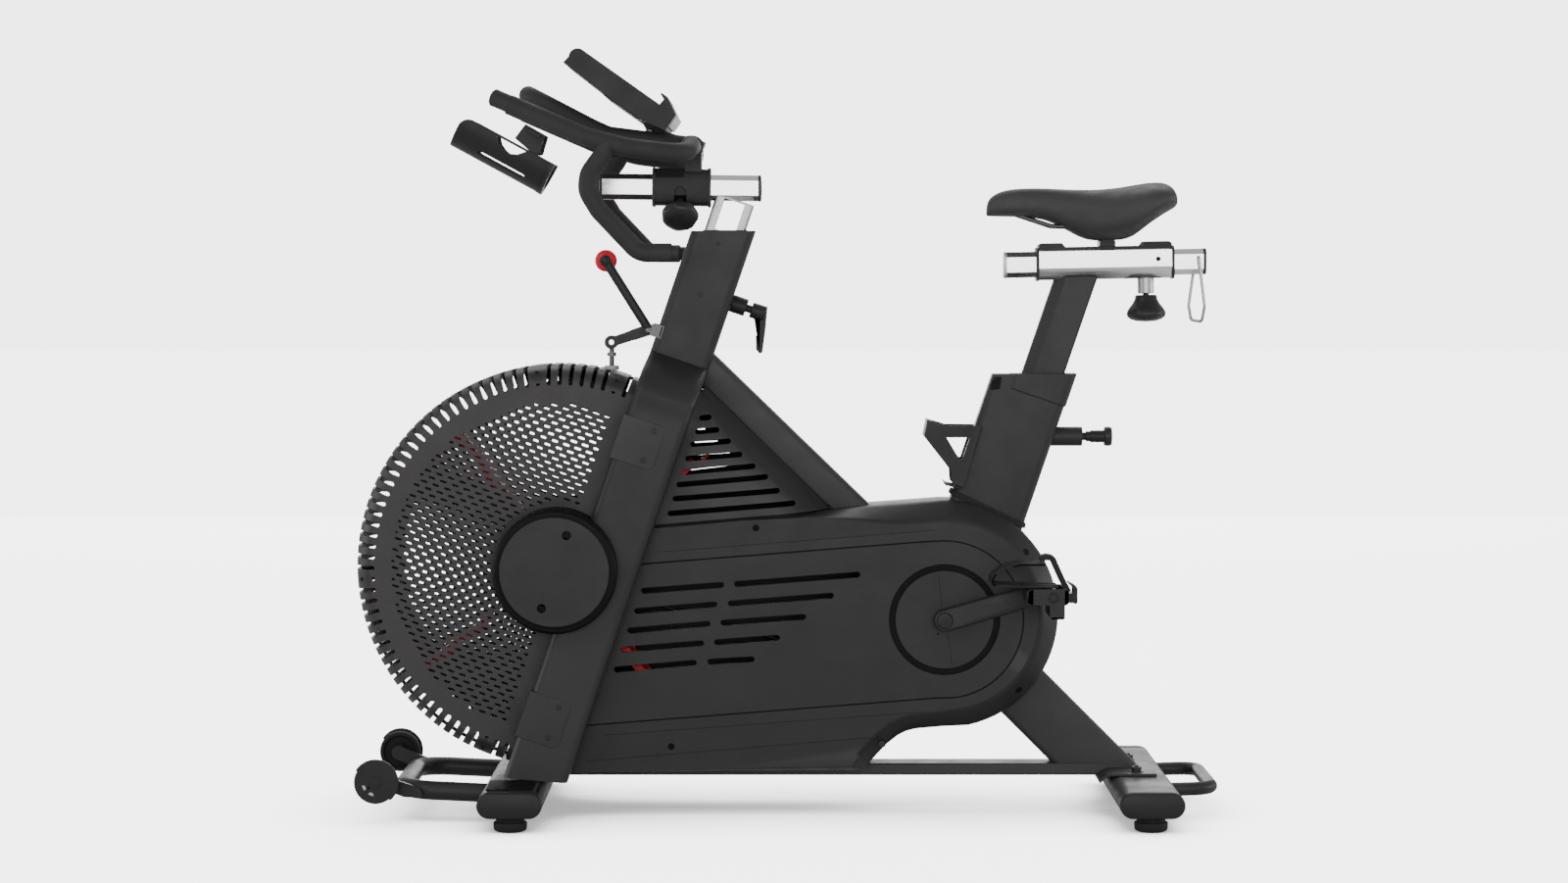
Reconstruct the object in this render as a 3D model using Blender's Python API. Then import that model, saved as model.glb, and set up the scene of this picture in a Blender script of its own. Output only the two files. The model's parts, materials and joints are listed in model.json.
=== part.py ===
"""Air bike: an upright exercise bike whose flywheel is a fan.

Metres, +Z up. The bike faces -X, its left side is -Y, and the feet stand on z = 0.
The origin is on the floor, under the middle of the bike.
"""

import math

import bmesh
import bpy
from mathutils import Matrix, Vector

# ---------------------------------------------------------------- driving dimensions
GAP = 0.0003                       # clearance between neighbouring pieces
HALF_LENGTH = 0.6647               # fan guard in front, rear handle behind
HALF_WIDTH = 0.270                 # stabilizers

# Leaning frame lines: mast and seat tube lean back by the same angle.
LEAN = math.radians(18.8)
MAST_TOP = (-0.0984, 0.9015)
MAST_DEPTH = 0.0948
MAST_WIDTH = 0.070
SEAT_TOP = (0.3840, 0.6795)        # middle of the seat tube's mouth
SEAT_TUBE_DEPTH = 0.1220
SEAT_TUBE_WIDTH = 0.056

# Fan and crank
FAN = (-0.3527, 0.3835)
GUARD_RADIUS = 0.3120
GUARD_FACE_Y = 0.0950
FAN_RADIUS = 0.288
FAN_HALF_WIDTH = 0.050
FAN_BLADES = 4
FAN_PULLEY_RADIUS = 0.028
CRANK = (0.2427, 0.3030)
CRANK_LENGTH = 0.165
CRANK_ANGLE = math.radians(16.1)   # the left arm points back and a little up
CRANK_PULLEY_RADIUS = 0.115
BELT_Y = 0.070
BELT_WIDTH = 0.012
BELT_THICKNESS = 0.003
CASING_Y = 0.085
CASING_WALL = 0.003
CASING_REAR = (0.2417, 0.3105)     # centre of the round rear end
CASING_REAR_RADIUS = 0.1786

# Base
STABILIZER_DEPTH = 0.0974
STABILIZER_HEIGHT = 0.0385
STABILIZER_Z = 0.0415
FRONT_X = -0.4155
REAR_X = 0.5465
FOOT_RADIUS = 0.0255
FOOT_Y = 0.240
WHEEL_RADIUS = 0.0325
WHEEL = (-0.6240, 0.0650)
WHEEL_Y = 0.170

# Handlebar
RAIL_Z = 0.9690
RAIL_X = (-0.2883, -0.0424)
RAIL_TILT = math.radians(-0.7)
RAIL_SIZE = 0.0400
BAR_RADIUS = 0.0150
CROSSBAR = (-0.1464, 1.0305)
BAR_Y = 0.230

# Saddle slider
SLIDER_TILT = math.radians(1.1)
SLIDER_CENTRE = (0.4940, 0.8515)
SLIDER_SLEEVE_LENGTH = 0.2140
SLIDER_TUBE_LENGTH = 0.3150

UP = (math.sin(LEAN), math.cos(LEAN))
BACK = (math.cos(LEAN), -math.sin(LEAN))


def along_mast(down, back):
    """A point in the XZ plane, from the mast's top: down along it and back across it."""
    return (MAST_TOP[0] - down * UP[0] + back * BACK[0],
            MAST_TOP[1] - down * UP[1] + back * BACK[1])


def along_seat(down, back):
    """The same for the seat tube."""
    return (SEAT_TOP[0] - down * UP[0] + back * BACK[0],
            SEAT_TOP[1] - down * UP[1] + back * BACK[1])


def at_height(origin, z, back):
    """A point of the leaning line through origin, offset back across it, at height z."""
    x = origin[0] - (origin[1] - z) * math.tan(LEAN) + back / math.cos(LEAN)
    return (x, z)


def on_circle(centre, radius, angle):
    return (centre[0] + radius * math.cos(angle), centre[1] + radius * math.sin(angle))


def arc(centre, radius, start, end, steps):
    """Points of an arc from start to end, both in degrees."""
    points = []
    for i in range(steps + 1):
        angle = math.radians(start + (end - start) * i / steps)
        points.append(on_circle(centre, radius, angle))
    return points


# ---------------------------------------------------------------- materials
def material(name, colour, roughness, metallic=0.0):
    mat = bpy.data.materials.new(name)
    mat.use_nodes = True
    shader = mat.node_tree.nodes["Principled BSDF"]
    shader.inputs["Base Color"].default_value = (*colour, 1.0)
    shader.inputs["Roughness"].default_value = roughness
    shader.inputs["Metallic"].default_value = metallic
    return mat


def frame_paint(name):
    return material(name + "_paint", (0.040, 0.038, 0.039), 0.42)


def black_plastic(name):
    return material(name + "_plastic", (0.018, 0.018, 0.019), 0.50)


def chrome(name):
    return material(name + "_chrome", (0.82, 0.81, 0.80), 0.18, 1.0)


def black_rubber(name):
    return material(name + "_rubber", (0.012, 0.012, 0.012), 0.80)


def grip_foam(name):
    return material(name + "_foam", (0.050, 0.050, 0.051), 0.85)


def red_paint(name):
    return material(name + "_red", (0.45, 0.015, 0.025), 0.45)


def bare_steel(name):
    return material(name + "_steel", (0.55, 0.55, 0.56), 0.35, 1.0)


# ---------------------------------------------------------------- mesh helpers
def clear_scene():
    for obj in list(bpy.data.objects):
        bpy.data.objects.remove(obj, do_unlink=True)


def add_mesh(name, bm, mat, smooth_angle=35.0):
    """Make an object from a bmesh, with outward faces and smooth round sides."""
    bmesh.ops.recalc_face_normals(bm, faces=bm.faces)
    mesh = bpy.data.meshes.new(name)
    bm.to_mesh(mesh)
    bm.free()
    obj = bpy.data.objects.new(name, mesh)
    bpy.context.scene.collection.objects.link(obj)
    if mat is not None:
        mesh.materials.append(mat)
    mesh.shade_smooth()
    mesh.set_sharp_from_angle(angle=math.radians(smooth_angle))
    return obj


def set_pivot(obj, point):
    """Put the object's origin on its joint's axis, leaving its shape in place."""
    obj.data.transform(Matrix.Translation(-Vector(point)))
    obj.location = point
    return obj


def bevel_edges(bm, direction, width, segments=2):
    """Round the edges that run along a direction."""
    axis = Vector(direction).normalized()
    edges = []
    for edge in bm.edges:
        run = edge.verts[1].co - edge.verts[0].co
        if run.length > 1e-6 and abs(run.normalized().dot(axis)) > 0.999:
            edges.append(edge)
    bmesh.ops.bevel(bm, geom=edges, offset=width, segments=segments, affect="EDGES", profile=0.5,
                    clamp_overlap=True)


def prism(name, outline, y_low, y_high, mat, bevel=None, segments=1):
    """Extrude a closed XZ outline from y_low to y_high; bevel rounds the edges of both faces."""
    bm = bmesh.new()
    low = [bm.verts.new((x, y_low, z)) for x, z in outline]
    face = bm.faces.new(low)
    grown = bmesh.ops.extrude_face_region(bm, geom=[face])
    moved = [v for v in grown["geom"] if isinstance(v, bmesh.types.BMVert)]
    bmesh.ops.translate(bm, verts=moved, vec=(0.0, y_high - y_low, 0.0))
    if bevel:
        edges = [e for e in bm.edges if abs(e.verts[0].co.y - e.verts[1].co.y) < 1e-7]
        bmesh.ops.bevel(bm, geom=edges, offset=bevel, segments=segments, affect="EDGES",
                        profile=0.5, clamp_overlap=True)
    return add_mesh(name, bm, mat)


def beam(name, start, end, depth, width, mat, rounding=0.004, y=0.0, segments=2):
    """A straight bar between two XZ points, with rounded long edges."""
    run = (Vector(end) - Vector(start)).normalized()
    side = Vector((-run.y, run.x)) * depth / 2
    bm = bmesh.new()
    corners = []
    for point, across in ((start, -1), (end, -1), (end, 1), (start, 1)):
        corners.append((point[0] + side.x * across, point[1] + side.y * across))
    low = [bm.verts.new((x, y - width / 2, z)) for x, z in corners]
    face = bm.faces.new(low)
    grown = bmesh.ops.extrude_face_region(bm, geom=[face])
    moved = [v for v in grown["geom"] if isinstance(v, bmesh.types.BMVert)]
    bmesh.ops.translate(bm, verts=moved, vec=(0.0, width, 0.0))
    if rounding:
        bevel_edges(bm, (run.x, 0.0, run.y), rounding, segments)
    return add_mesh(name, bm, mat)


def lathe(name, profile, centre, axis, mat, steps=32):
    """Turn a closed profile of (radius, distance along axis) points about an axis."""
    turn = Vector((0.0, 0.0, 1.0)).rotation_difference(Vector(axis)).to_matrix().to_4x4()
    place = Matrix.Translation(Vector(centre)) @ turn
    bm = bmesh.new()
    rings = []
    for radius, height in profile:
        if radius < 1e-6:
            rings.append([bm.verts.new((0.0, 0.0, height))])
            continue
        ring = []
        for i in range(steps):
            angle = 2 * math.pi * i / steps
            ring.append(bm.verts.new((radius * math.cos(angle), radius * math.sin(angle), height)))
        rings.append(ring)
    closed = profile[0][0] > 1e-6
    pairs = list(zip(rings, rings[1:]))
    if closed:
        pairs.append((rings[-1], rings[0]))
    for first, second in pairs:
        for i in range(steps):
            corners = [first[i % len(first)], first[(i + 1) % len(first)],
                       second[(i + 1) % len(second)], second[i % len(second)]]
            unique = list(dict.fromkeys(corners))
            if len(unique) > 2:
                bm.faces.new(unique)
    bmesh.ops.transform(bm, matrix=place, verts=bm.verts)
    return add_mesh(name, bm, mat)


def cylinder(name, centre, axis, radius, low, high, mat, steps=24, chamfer=0.0):
    """A rod about an axis through centre, from low to high along it."""
    profile = [(0.0, low), (radius - chamfer, low)]
    if chamfer:
        profile += [(radius, low + chamfer), (radius, high - chamfer)]
    profile += [(radius - chamfer, high), (0.0, high)]
    return lathe(name, profile, centre, axis, mat, steps)


def rounded_path(points, radius, steps=4):
    """Points of a run whose corners are rounded to a radius."""
    path = [Vector(points[0])]
    for before, corner, after in zip(points, points[1:], points[2:]):
        before, corner, after = Vector(before), Vector(corner), Vector(after)
        back = (before - corner).normalized()
        ahead = (after - corner).normalized()
        half = back.angle(ahead) / 2
        if half > math.radians(89.5):
            path.append(corner)
            continue
        reach = min(radius / math.tan(half), 0.48 * (before - corner).length,
                    0.48 * (after - corner).length)
        bend = reach * math.tan(half)
        centre = corner + (back + ahead).normalized() * (bend / math.sin(half))
        start = corner + back * reach - centre
        end = corner + ahead * reach - centre
        sweep = start.angle(end)
        for i in range(steps + 1):
            share = i / steps
            weight_a = math.sin((1 - share) * sweep) / math.sin(sweep)
            weight_b = math.sin(share * sweep) / math.sin(sweep)
            path.append(centre + start * weight_a + end * weight_b)
    path.append(Vector(points[-1]))
    return path


def tube(name, path, radius, mat, resolution=2, cyclic=False):
    """A round bar along a path of points."""
    curve = bpy.data.curves.new(name, "CURVE")
    curve.dimensions = "3D"
    curve.bevel_depth = radius
    curve.bevel_resolution = resolution
    curve.use_fill_caps = not cyclic
    curve.resolution_u = 1
    curve.render_resolution_u = 0
    spline = curve.splines.new("POLY")
    spline.points.add(len(path) - 1)
    for point, place in zip(spline.points, path):
        point.co = (*place, 1.0)
    spline.use_cyclic_u = cyclic
    spline.use_smooth = True
    curve.materials.append(mat)
    obj = bpy.data.objects.new(name, curve)
    bpy.context.scene.collection.objects.link(obj)
    return obj


def solid_tube(name, path, radius, mat, resolution=2):
    """The same bar as one closed mesh, for joining to other pieces."""
    bar = tube(name, path, radius, mat, resolution)
    bpy.context.view_layer.update()
    graph = bpy.context.evaluated_depsgraph_get()
    bm = bmesh.new()
    bm.from_mesh(bpy.data.meshes.new_from_object(bar.evaluated_get(graph)))
    bmesh.ops.remove_doubles(bm, verts=bm.verts, dist=0.00001)
    bpy.data.objects.remove(bar, do_unlink=True)
    return add_mesh(name, bm, mat)


def combine(obj, others, operation):
    """Boolean the others into the object and remove them."""
    for other in others:
        modifier = obj.modifiers.new(operation.lower(), "BOOLEAN")
        modifier.operation = operation
        modifier.object = other
        modifier.solver = "EXACT"
    bpy.context.view_layer.update()
    graph = bpy.context.evaluated_depsgraph_get()
    result = bpy.data.meshes.new_from_object(obj.evaluated_get(graph))
    bm = bmesh.new()
    bm.from_mesh(result)
    bmesh.ops.triangulate(bm, faces=bm.faces)
    bmesh.ops.remove_doubles(bm, verts=bm.verts, dist=0.000005)
    bmesh.ops.dissolve_degenerate(bm, edges=bm.edges, dist=0.000005)
    bm.to_mesh(result)
    bm.free()
    materials = list(obj.data.materials)
    obj.modifiers.clear()
    obj.data = result
    result.materials.clear()
    for mat in materials:
        result.materials.append(mat)
    result.polygons.foreach_set("material_index", [0] * len(result.polygons))
    for other in others:
        bpy.data.objects.remove(other, do_unlink=True)
    result.shade_smooth()
    result.set_sharp_from_angle(angle=math.radians(35.0))
    return obj


def cut(obj, *cutters):
    return combine(obj, cutters, "DIFFERENCE")


def join(obj, *others):
    return combine(obj, others, "UNION")


def sided(base, side):
    return base + ("_left" if side < 0 else "_right")


def y_range(side, inner, outer):
    """The low and high y of a slab between two distances from the middle, on one side."""
    return (min(side * inner, side * outer), max(side * inner, side * outer))


# ---------------------------------------------------------------- base
def stabilizer(name, x):
    """A flat oval tube across the bike, with closed rounded ends."""
    half_depth = STABILIZER_DEPTH / 2
    radius = STABILIZER_HEIGHT / 2
    outline = arc((x - half_depth + radius, STABILIZER_Z), radius, 270, 90, 8)
    outline += arc((x + half_depth - radius, STABILIZER_Z), radius, 90, -90, 8)
    return prism(name, outline, -HALF_WIDTH, HALF_WIDTH, frame_paint(name), bevel=0.004)


def feet():
    """Rubber pads screwed under the four ends of the stabilizers."""
    top = STABILIZER_Z - STABILIZER_HEIGHT / 2 - GAP
    profile = [(0.0, 0.0), (FOOT_RADIUS - 0.002, 0.0), (FOOT_RADIUS, 0.002), (FOOT_RADIUS, 0.0125),
               (FOOT_RADIUS - 0.004, 0.0145), (FOOT_RADIUS - 0.004, top), (0.0, top)]
    for name, x in (("foot_front", FRONT_X), ("foot_rear", REAR_X)):
        for side in (-1, 1):
            label = sided(name, side)
            lathe(label, profile, (x, side * FOOT_Y, 0.0), (0, 0, 1), black_rubber(label), 20)


TRANSPORT_BAR_Y = 0.134


def transport_bar():
    """Bent tube in front of the front stabilizer, with a plate and a stub axle for each wheel."""
    start_x = FRONT_X - STABILIZER_DEPTH / 2 - GAP
    front_x = -0.5900
    points = [(start_x, -TRANSPORT_BAR_Y, STABILIZER_Z), (front_x, -TRANSPORT_BAR_Y, 0.0480),
              (front_x, TRANSPORT_BAR_Y, 0.0480), (start_x, TRANSPORT_BAR_Y, STABILIZER_Z)]
    bar = solid_tube("transport_bar", rounded_path(points, 0.050, 5), 0.0145, frame_paint("transport_bar"))
    pieces = []
    for side in (-1, 1):
        outline = arc(WHEEL, 0.0150, 60, 280, 6)
        outline += [(-0.588, 0.0340), (-0.5560, 0.0340), (-0.5560, 0.0620), (-0.590, 0.0740)]
        low, high = y_range(side, 0.1450, 0.1530)
        pieces.append(prism("plate", outline, low, high, None))
        centre = (WHEEL[0], side * WHEEL_Y, WHEEL[1])
        pieces.append(cylinder("stub", centre, (0, side, 0), 0.0044, -0.0200, 0.0140, None, 16))
        pieces.append(cylinder("cover", centre, (0, side, 0), 0.0290, 0.0106, 0.0150, None, 24))
    return join(bar, *pieces)


def transport_wheel(side):
    """Small wheel with a hub bore, turning on its bracket's stub."""
    name = sided("transport_wheel", side)
    profile = [(0.0045, -0.010), (0.0280, -0.010), (WHEEL_RADIUS, -0.0070), (WHEEL_RADIUS, 0.0070),
               (0.0280, 0.010), (0.0045, 0.010)]
    centre = (WHEEL[0], side * WHEEL_Y, WHEEL[1])
    wheel = lathe(name, profile, centre, (0, 1, 0), black_rubber(name), 24)
    return set_pivot(wheel, centre)


def rear_handle():
    """Bent lifting handle behind the rear stabilizer."""
    radius = 0.0105
    start_x = REAR_X + STABILIZER_DEPTH / 2 + GAP
    end_x = HALF_LENGTH - radius
    points = [(start_x, -0.1120, 0.0440), (end_x, -0.1120, 0.0460), (end_x, 0.1120, 0.0460),
              (start_x, 0.1120, 0.0440)]
    return tube("rear_handle", rounded_path(points, 0.030, 6), radius, frame_paint("rear_handle"))


def bottom_rail():
    """Flat tube that ties the two stabilizers together."""
    z = 0.0633
    rail = beam("bottom_rail", (FRONT_X + 0.036, z), (REAR_X - 0.0475, z), 0.0185, 0.056,
                frame_paint("bottom_rail"), 0.003)
    radius = STABILIZER_HEIGHT / 2 + GAP
    cutters = []
    for x in (FRONT_X, REAR_X):
        half_depth = STABILIZER_DEPTH / 2 + GAP
        outline = arc((x - half_depth + radius, STABILIZER_Z), radius, 270, 90, 8)
        outline += arc((x + half_depth - radius, STABILIZER_Z), radius, 90, -90, 8)
        cutters.append(prism("oval", outline, -0.1, 0.1, None))
    return cut(rail, *cutters)


# ---------------------------------------------------------------- frame
def leaning_tube(name, origin, down, depth, width, centre, mat, rounding):
    """A tube along a leaning line, with a level top and a square lower end."""
    half = depth / 2
    outline = [at_height(origin, origin[1], centre - half), at_height(origin, origin[1], centre + half)]
    for back in (centre + half, centre - half):
        outline.append((origin[0] - down * UP[0] + back * BACK[0],
                        origin[1] - down * UP[1] + back * BACK[1]))
    bm = bmesh.new()
    face = bm.faces.new([bm.verts.new((x, -width / 2, z)) for x, z in outline])
    grown = bmesh.ops.extrude_face_region(bm, geom=[face])
    moved = [v for v in grown["geom"] if isinstance(v, bmesh.types.BMVert)]
    bmesh.ops.translate(bm, verts=moved, vec=(0.0, width, 0.0))
    bevel_edges(bm, (UP[0], 0.0, UP[1]), rounding, 3)
    return add_mesh(name, bm, mat)


def bore_cutter(name, place, low, high, depth, width, centre=0.0):
    """A rectangular cutter along a leaning line, from low to high down it."""
    start = place(low, centre)
    end = place(high, centre)
    return beam(name, start, end, depth, width, None, rounding=0.002)


CROWN_TOP = 0.2150
CROWN_BOTTOM = 0.2700
LEG_INNER = 0.0985
LEG_OUTER = 0.1400


def mast_tube():
    """Upper mast: a hollow tube that the handlebar post slides in."""
    body = leaning_tube("mast_tube", MAST_TOP, CROWN_TOP - GAP, MAST_DEPTH, MAST_WIDTH, 0.0,
                        frame_paint("mast_tube"), 0.007)
    bore = bore_cutter("bore", along_mast, -0.05, CROWN_TOP + 0.05, 0.0625, 0.0405, 0.002)
    return cut(body, bore)


def fork_crown():
    """Shoulders that widen the mast into the two legs of the fork."""
    half = 0.0495
    profile = [(-0.045, CROWN_TOP), (0.045, CROWN_TOP), (0.100, 0.2240), (0.127, 0.2380),
               (0.1385, 0.2560), (LEG_OUTER, CROWN_BOTTOM), (LEG_INNER, CROWN_BOTTOM),
               (LEG_INNER, 0.2600), (-LEG_INNER, 0.2600), (-LEG_INNER, CROWN_BOTTOM),
               (-LEG_OUTER, CROWN_BOTTOM), (-0.1385, 0.2560), (-0.127, 0.2380), (-0.100, 0.2240)]
    bm = bmesh.new()
    front = []
    for y, down in profile:
        x, z = along_mast(down, -half)
        front.append(bm.verts.new((x, y, z)))
    face = bm.faces.new(front)
    grown = bmesh.ops.extrude_face_region(bm, geom=[face])
    moved = [v for v in grown["geom"] if isinstance(v, bmesh.types.BMVert)]
    bmesh.ops.translate(bm, verts=moved, vec=(2 * half * BACK[0], 0.0, 2 * half * BACK[1]))
    return add_mesh("fork_crown", bm, frame_paint("fork_crown"))


def fork_leg(side):
    """One leg of the fork, from the crown to the front stabilizer, with an ear for the fan axle."""
    name = sided("fork_leg", side)
    half = MAST_DEPTH / 2
    foot_z = STABILIZER_Z + STABILIZER_HEIGHT / 2 + GAP
    low, high = y_range(side, LEG_INNER, LEG_OUTER)
    front_top = along_mast(CROWN_BOTTOM + GAP, -half)
    rear_top = along_mast(CROWN_BOTTOM + GAP, half)
    outline = [front_top, rear_top, at_height(MAST_TOP, foot_z, half), at_height(MAST_TOP, foot_z, -half)]
    leg = prism(name, outline, low, high, frame_paint(name), bevel=0.005, segments=2)
    ear = cylinder("ear", (FAN[0], 0.0, FAN[1]), (0, side, 0), 0.072, LEG_INNER, 0.1380, None, 40)
    join(leg, ear)
    hole = cylinder("hole", (FAN[0], 0.0, FAN[1]), (0, side, 0), 0.0104, 0.05, 0.20, None, 24)
    return cut(leg, hole)


DIAGONAL_TOP = (-0.1310, 0.6920)
DIAGONAL_SLOPE = math.radians(-44.1)
DIAGONAL_SIZE = 0.0520


def along_diagonal(reach, rise=0.0):
    """A point of the diagonal tube's line, raised across it."""
    run = (math.cos(DIAGONAL_SLOPE), math.sin(DIAGONAL_SLOPE))
    return (DIAGONAL_TOP[0] + reach * run[0] - rise * run[1],
            DIAGONAL_TOP[1] + reach * run[1] + rise * run[0])


def shell_cutter():
    return cylinder("shell_cutter", (CRANK[0], 0.0, CRANK[1]), (0, 1, 0), 0.0284, -0.2, 0.2, None, 32)


def diagonal_tube():
    """Straight tube from the back of the mast down to the bottom bracket."""
    tube_body = beam("diagonal_tube", along_diagonal(-0.020), along_diagonal(0.500), DIAGONAL_SIZE, 0.050,
                     frame_paint("diagonal_tube"), 0.006)
    half = MAST_DEPTH / 2 + GAP
    mast_side = [along_mast(0.05, half), along_mast(0.40, half), along_mast(0.40, -0.3), along_mast(0.05, -0.3)]
    mast_cutter = prism("mast_cutter", mast_side, -0.2, 0.2, None)
    crown_side = [along_mast(CROWN_TOP - GAP, 0.0498), along_mast(0.40, 0.0498),
                  along_mast(0.40, -0.3), along_mast(CROWN_TOP - GAP, -0.3)]
    crown_cutter = prism("crown_cutter", crown_side, -0.2, 0.2, None)
    return cut(tube_body, mast_cutter, crown_cutter, shell_cutter())


REAR_LEG_DEPTH = 0.0920


def rear_leg():
    """Deep tube from the bottom bracket to the rear stabilizer, with a welded foot plate."""
    top_line = (0.3690, 0.1825)
    slope = math.radians(-44.9)
    run = (math.cos(slope), math.sin(slope))
    start = (top_line[0] - 0.1500 * run[0], top_line[1] - 0.1500 * run[1])
    end = (top_line[0] + 0.2600 * run[0], top_line[1] + 0.2600 * run[1])
    leg = beam("rear_leg", start, end, REAR_LEG_DEPTH, 0.050, frame_paint("rear_leg"), 0.009)
    below = [(0.0, -0.3), (1.0, -0.3), (1.0, 0.0728), (0.0, 0.0728)]
    floor_cutter = prism("floor_cutter", below, -0.2, 0.2, None)
    cut(leg, floor_cutter, shell_cutter())
    top_z = STABILIZER_Z + STABILIZER_HEIGHT / 2 + GAP
    plate_outline = [(0.5000, top_z), (0.5780, top_z), (0.5780, 0.0680), (0.5560, 0.0735), (0.5000, 0.0735)]
    plate = prism("plate", plate_outline, -0.055, 0.055, None)
    return join(leg, plate)


def seat_tube():
    """Deep tube that holds the seat post, with a narrow tail down to the bottom bracket."""
    mat = frame_paint("seat_tube")
    body = leaning_tube("seat_tube", SEAT_TOP, 0.2320, SEAT_TUBE_DEPTH, SEAT_TUBE_WIDTH, 0.0, mat, 0.008)
    tail = beam("tail", along_seat(0.200, 0.010), along_seat(0.345, 0.010), 0.060, 0.044, None, 0.004)
    boss = cylinder("boss", (0.4100, 0.0, 0.5818), (1, 0, 0), 0.0150, 0.0, 0.0500, None, 24)
    join(body, tail, boss)
    bore = bore_cutter("bore", along_seat, -0.05, 0.195, 0.0645, 0.0425, 0.0135)
    pin_hole = cylinder("pin_hole", (0.4100, 0.0, 0.5818), (1, 0, 0), 0.0063, -0.02, 0.10, None, 20)
    return cut(body, bore, pin_hole)


def bottom_bracket_shell():
    """Tube round the crank axle."""
    profile = [(0.0165, -0.050), (0.0280, -0.050), (0.0280, 0.050), (0.0165, 0.050)]
    return lathe("bottom_bracket_shell", profile, (CRANK[0], 0.0, CRANK[1]), (0, 1, 0),
                 bare_steel("bottom_bracket_shell"), 32)


# ---------------------------------------------------------------- covers
CASING_TOP_DOWN = CROWN_BOTTOM + 0.0015
CASING_BOTTOM_Z = 0.0650


def casing_outline(inset=0.0):
    """The casing's side outline: under the diagonal, round the crank and back along the bottom."""
    under = -DIAGONAL_SIZE / 2 - 0.0010 - inset
    top = [along_mast(CASING_TOP_DOWN + inset, 0.0030 + inset), along_mast(CASING_TOP_DOWN + inset, 0.0500),
           along_diagonal(0.0350, under), along_diagonal(0.2760, under), (0.0850, 0.4755 - inset)]
    rear = arc(CASING_REAR, CASING_REAR_RADIUS - inset, 100, -80, 20)
    bottom_z = CASING_BOTTOM_Z + inset
    belly = [(0.1940, 0.1290 + inset), (0.1620, 0.1130 + inset), (0.1340, 0.0840 + inset),
             (0.1210, bottom_z)]
    return top + rear + belly + [at_height(MAST_TOP, bottom_z, 0.0030 + inset)]


def casing(side):
    """One half of the shell over the belt drive, open towards the other half and the fan."""
    name = sided("casing", side)
    low, high = y_range(side, GAP / 2, CASING_Y)
    shell = prism(name, casing_outline(), low, high, frame_paint(name))
    inner_low, inner_high = y_range(side, -0.02, CASING_Y - CASING_WALL)
    hollow = prism("hollow", casing_outline(CASING_WALL), inner_low, inner_high, None)
    # The front edge is open to the fan.
    mouth = beam("mouth", along_mast(0.2745, 0.0), along_mast(0.8800, 0.0), 0.030, 0.3, None, 0.0,
                 y=side * (CASING_Y - CASING_WALL - 0.15))
    seat = leaning_tube("seat", (SEAT_TOP[0], SEAT_TOP[1]), 0.2323, SEAT_TUBE_DEPTH + 0.0006,
                        SEAT_TUBE_WIDTH + 0.0006, 0.0, None, 0.008)
    leg = beam("leg", (0.2627, 0.2888), (0.60, -0.0502), REAR_LEG_DEPTH + 0.0010, 0.0506, None, 0.0)
    strut = beam("strut", along_diagonal(-0.1), along_diagonal(0.5), DIAGONAL_SIZE + 0.0010, 0.0506, None, 0.0)
    rail = beam("rail", (-0.5, 0.0630), (0.5, 0.0630), 0.0200, 0.0566, None, 0.0)
    axle = cylinder("axle", (CRANK[0], 0.0, CRANK[1]), (0, 1, 0), 0.0240, -0.2, 0.2, None, 32)
    return cut(shell, hollow, mouth, seat, leg, strut, rail, axle)


def fan_guard(side):
    """Half of the fan's guard: a dish with a rounded rim, cut off along the fork leg."""
    name = sided("fan_guard", side)
    rim = GUARD_RADIUS
    face = GUARD_FACE_Y
    wall = 0.003
    profile = [(0.0780, face), (rim - 0.045, face), (rim - 0.018, face - 0.010), (rim - 0.004, face - 0.030),
               (rim, face - 0.052), (rim, GAP / 2), (rim - wall, GAP / 2), (rim - wall, face - 0.053),
               (rim - 0.007, face - 0.0325), (rim - 0.020, face - 0.0128), (rim - 0.046, face - wall),
               (0.0780, face - wall)]
    dish = lathe(name, profile, (FAN[0], 0.0, FAN[1]), (0, side, 0), frame_paint(name), 48)
    behind = beam("behind", along_mast(-0.2, 0.4), along_mast(1.2, 0.4), 0.8, 0.5, None, 0.0)
    if side < 0:
        return cut(dish, behind)
    rod_hole = cylinder("rod_hole", (BRAKE_EYE[0], BRAKE_ROD_Y, 0.0), (0, 0, 1), BRAKE_ROD_RADIUS + 0.0015,
                        FAN[1], 0.80, None, 20)
    return cut(dish, behind, rod_hole)


def hub_cap(side):
    """Round cap over the end of the fan axle."""
    name = sided("hub_cap", side)
    start = LEG_OUTER + GAP
    profile = [(0.0, start), (0.0948, start), (0.0948, 0.1500), (0.0930, 0.1520), (0.0760, 0.1520),
               (0.0760, 0.1570), (0.0830, 0.1570), (0.0830, 0.1730), (0.0800, 0.1760), (0.0, 0.1760)]
    return lathe(name, profile, (FAN[0], 0.0, FAN[1]), (0, side, 0), black_plastic(name), 32)


# ---------------------------------------------------------------- drive
def fan_axle():
    return cylinder("fan_axle", (FAN[0], 0.0, FAN[1]), (0, 1, 0), 0.0100, -0.1395, 0.1395,
                    bare_steel("fan_axle"), 24)


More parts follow.
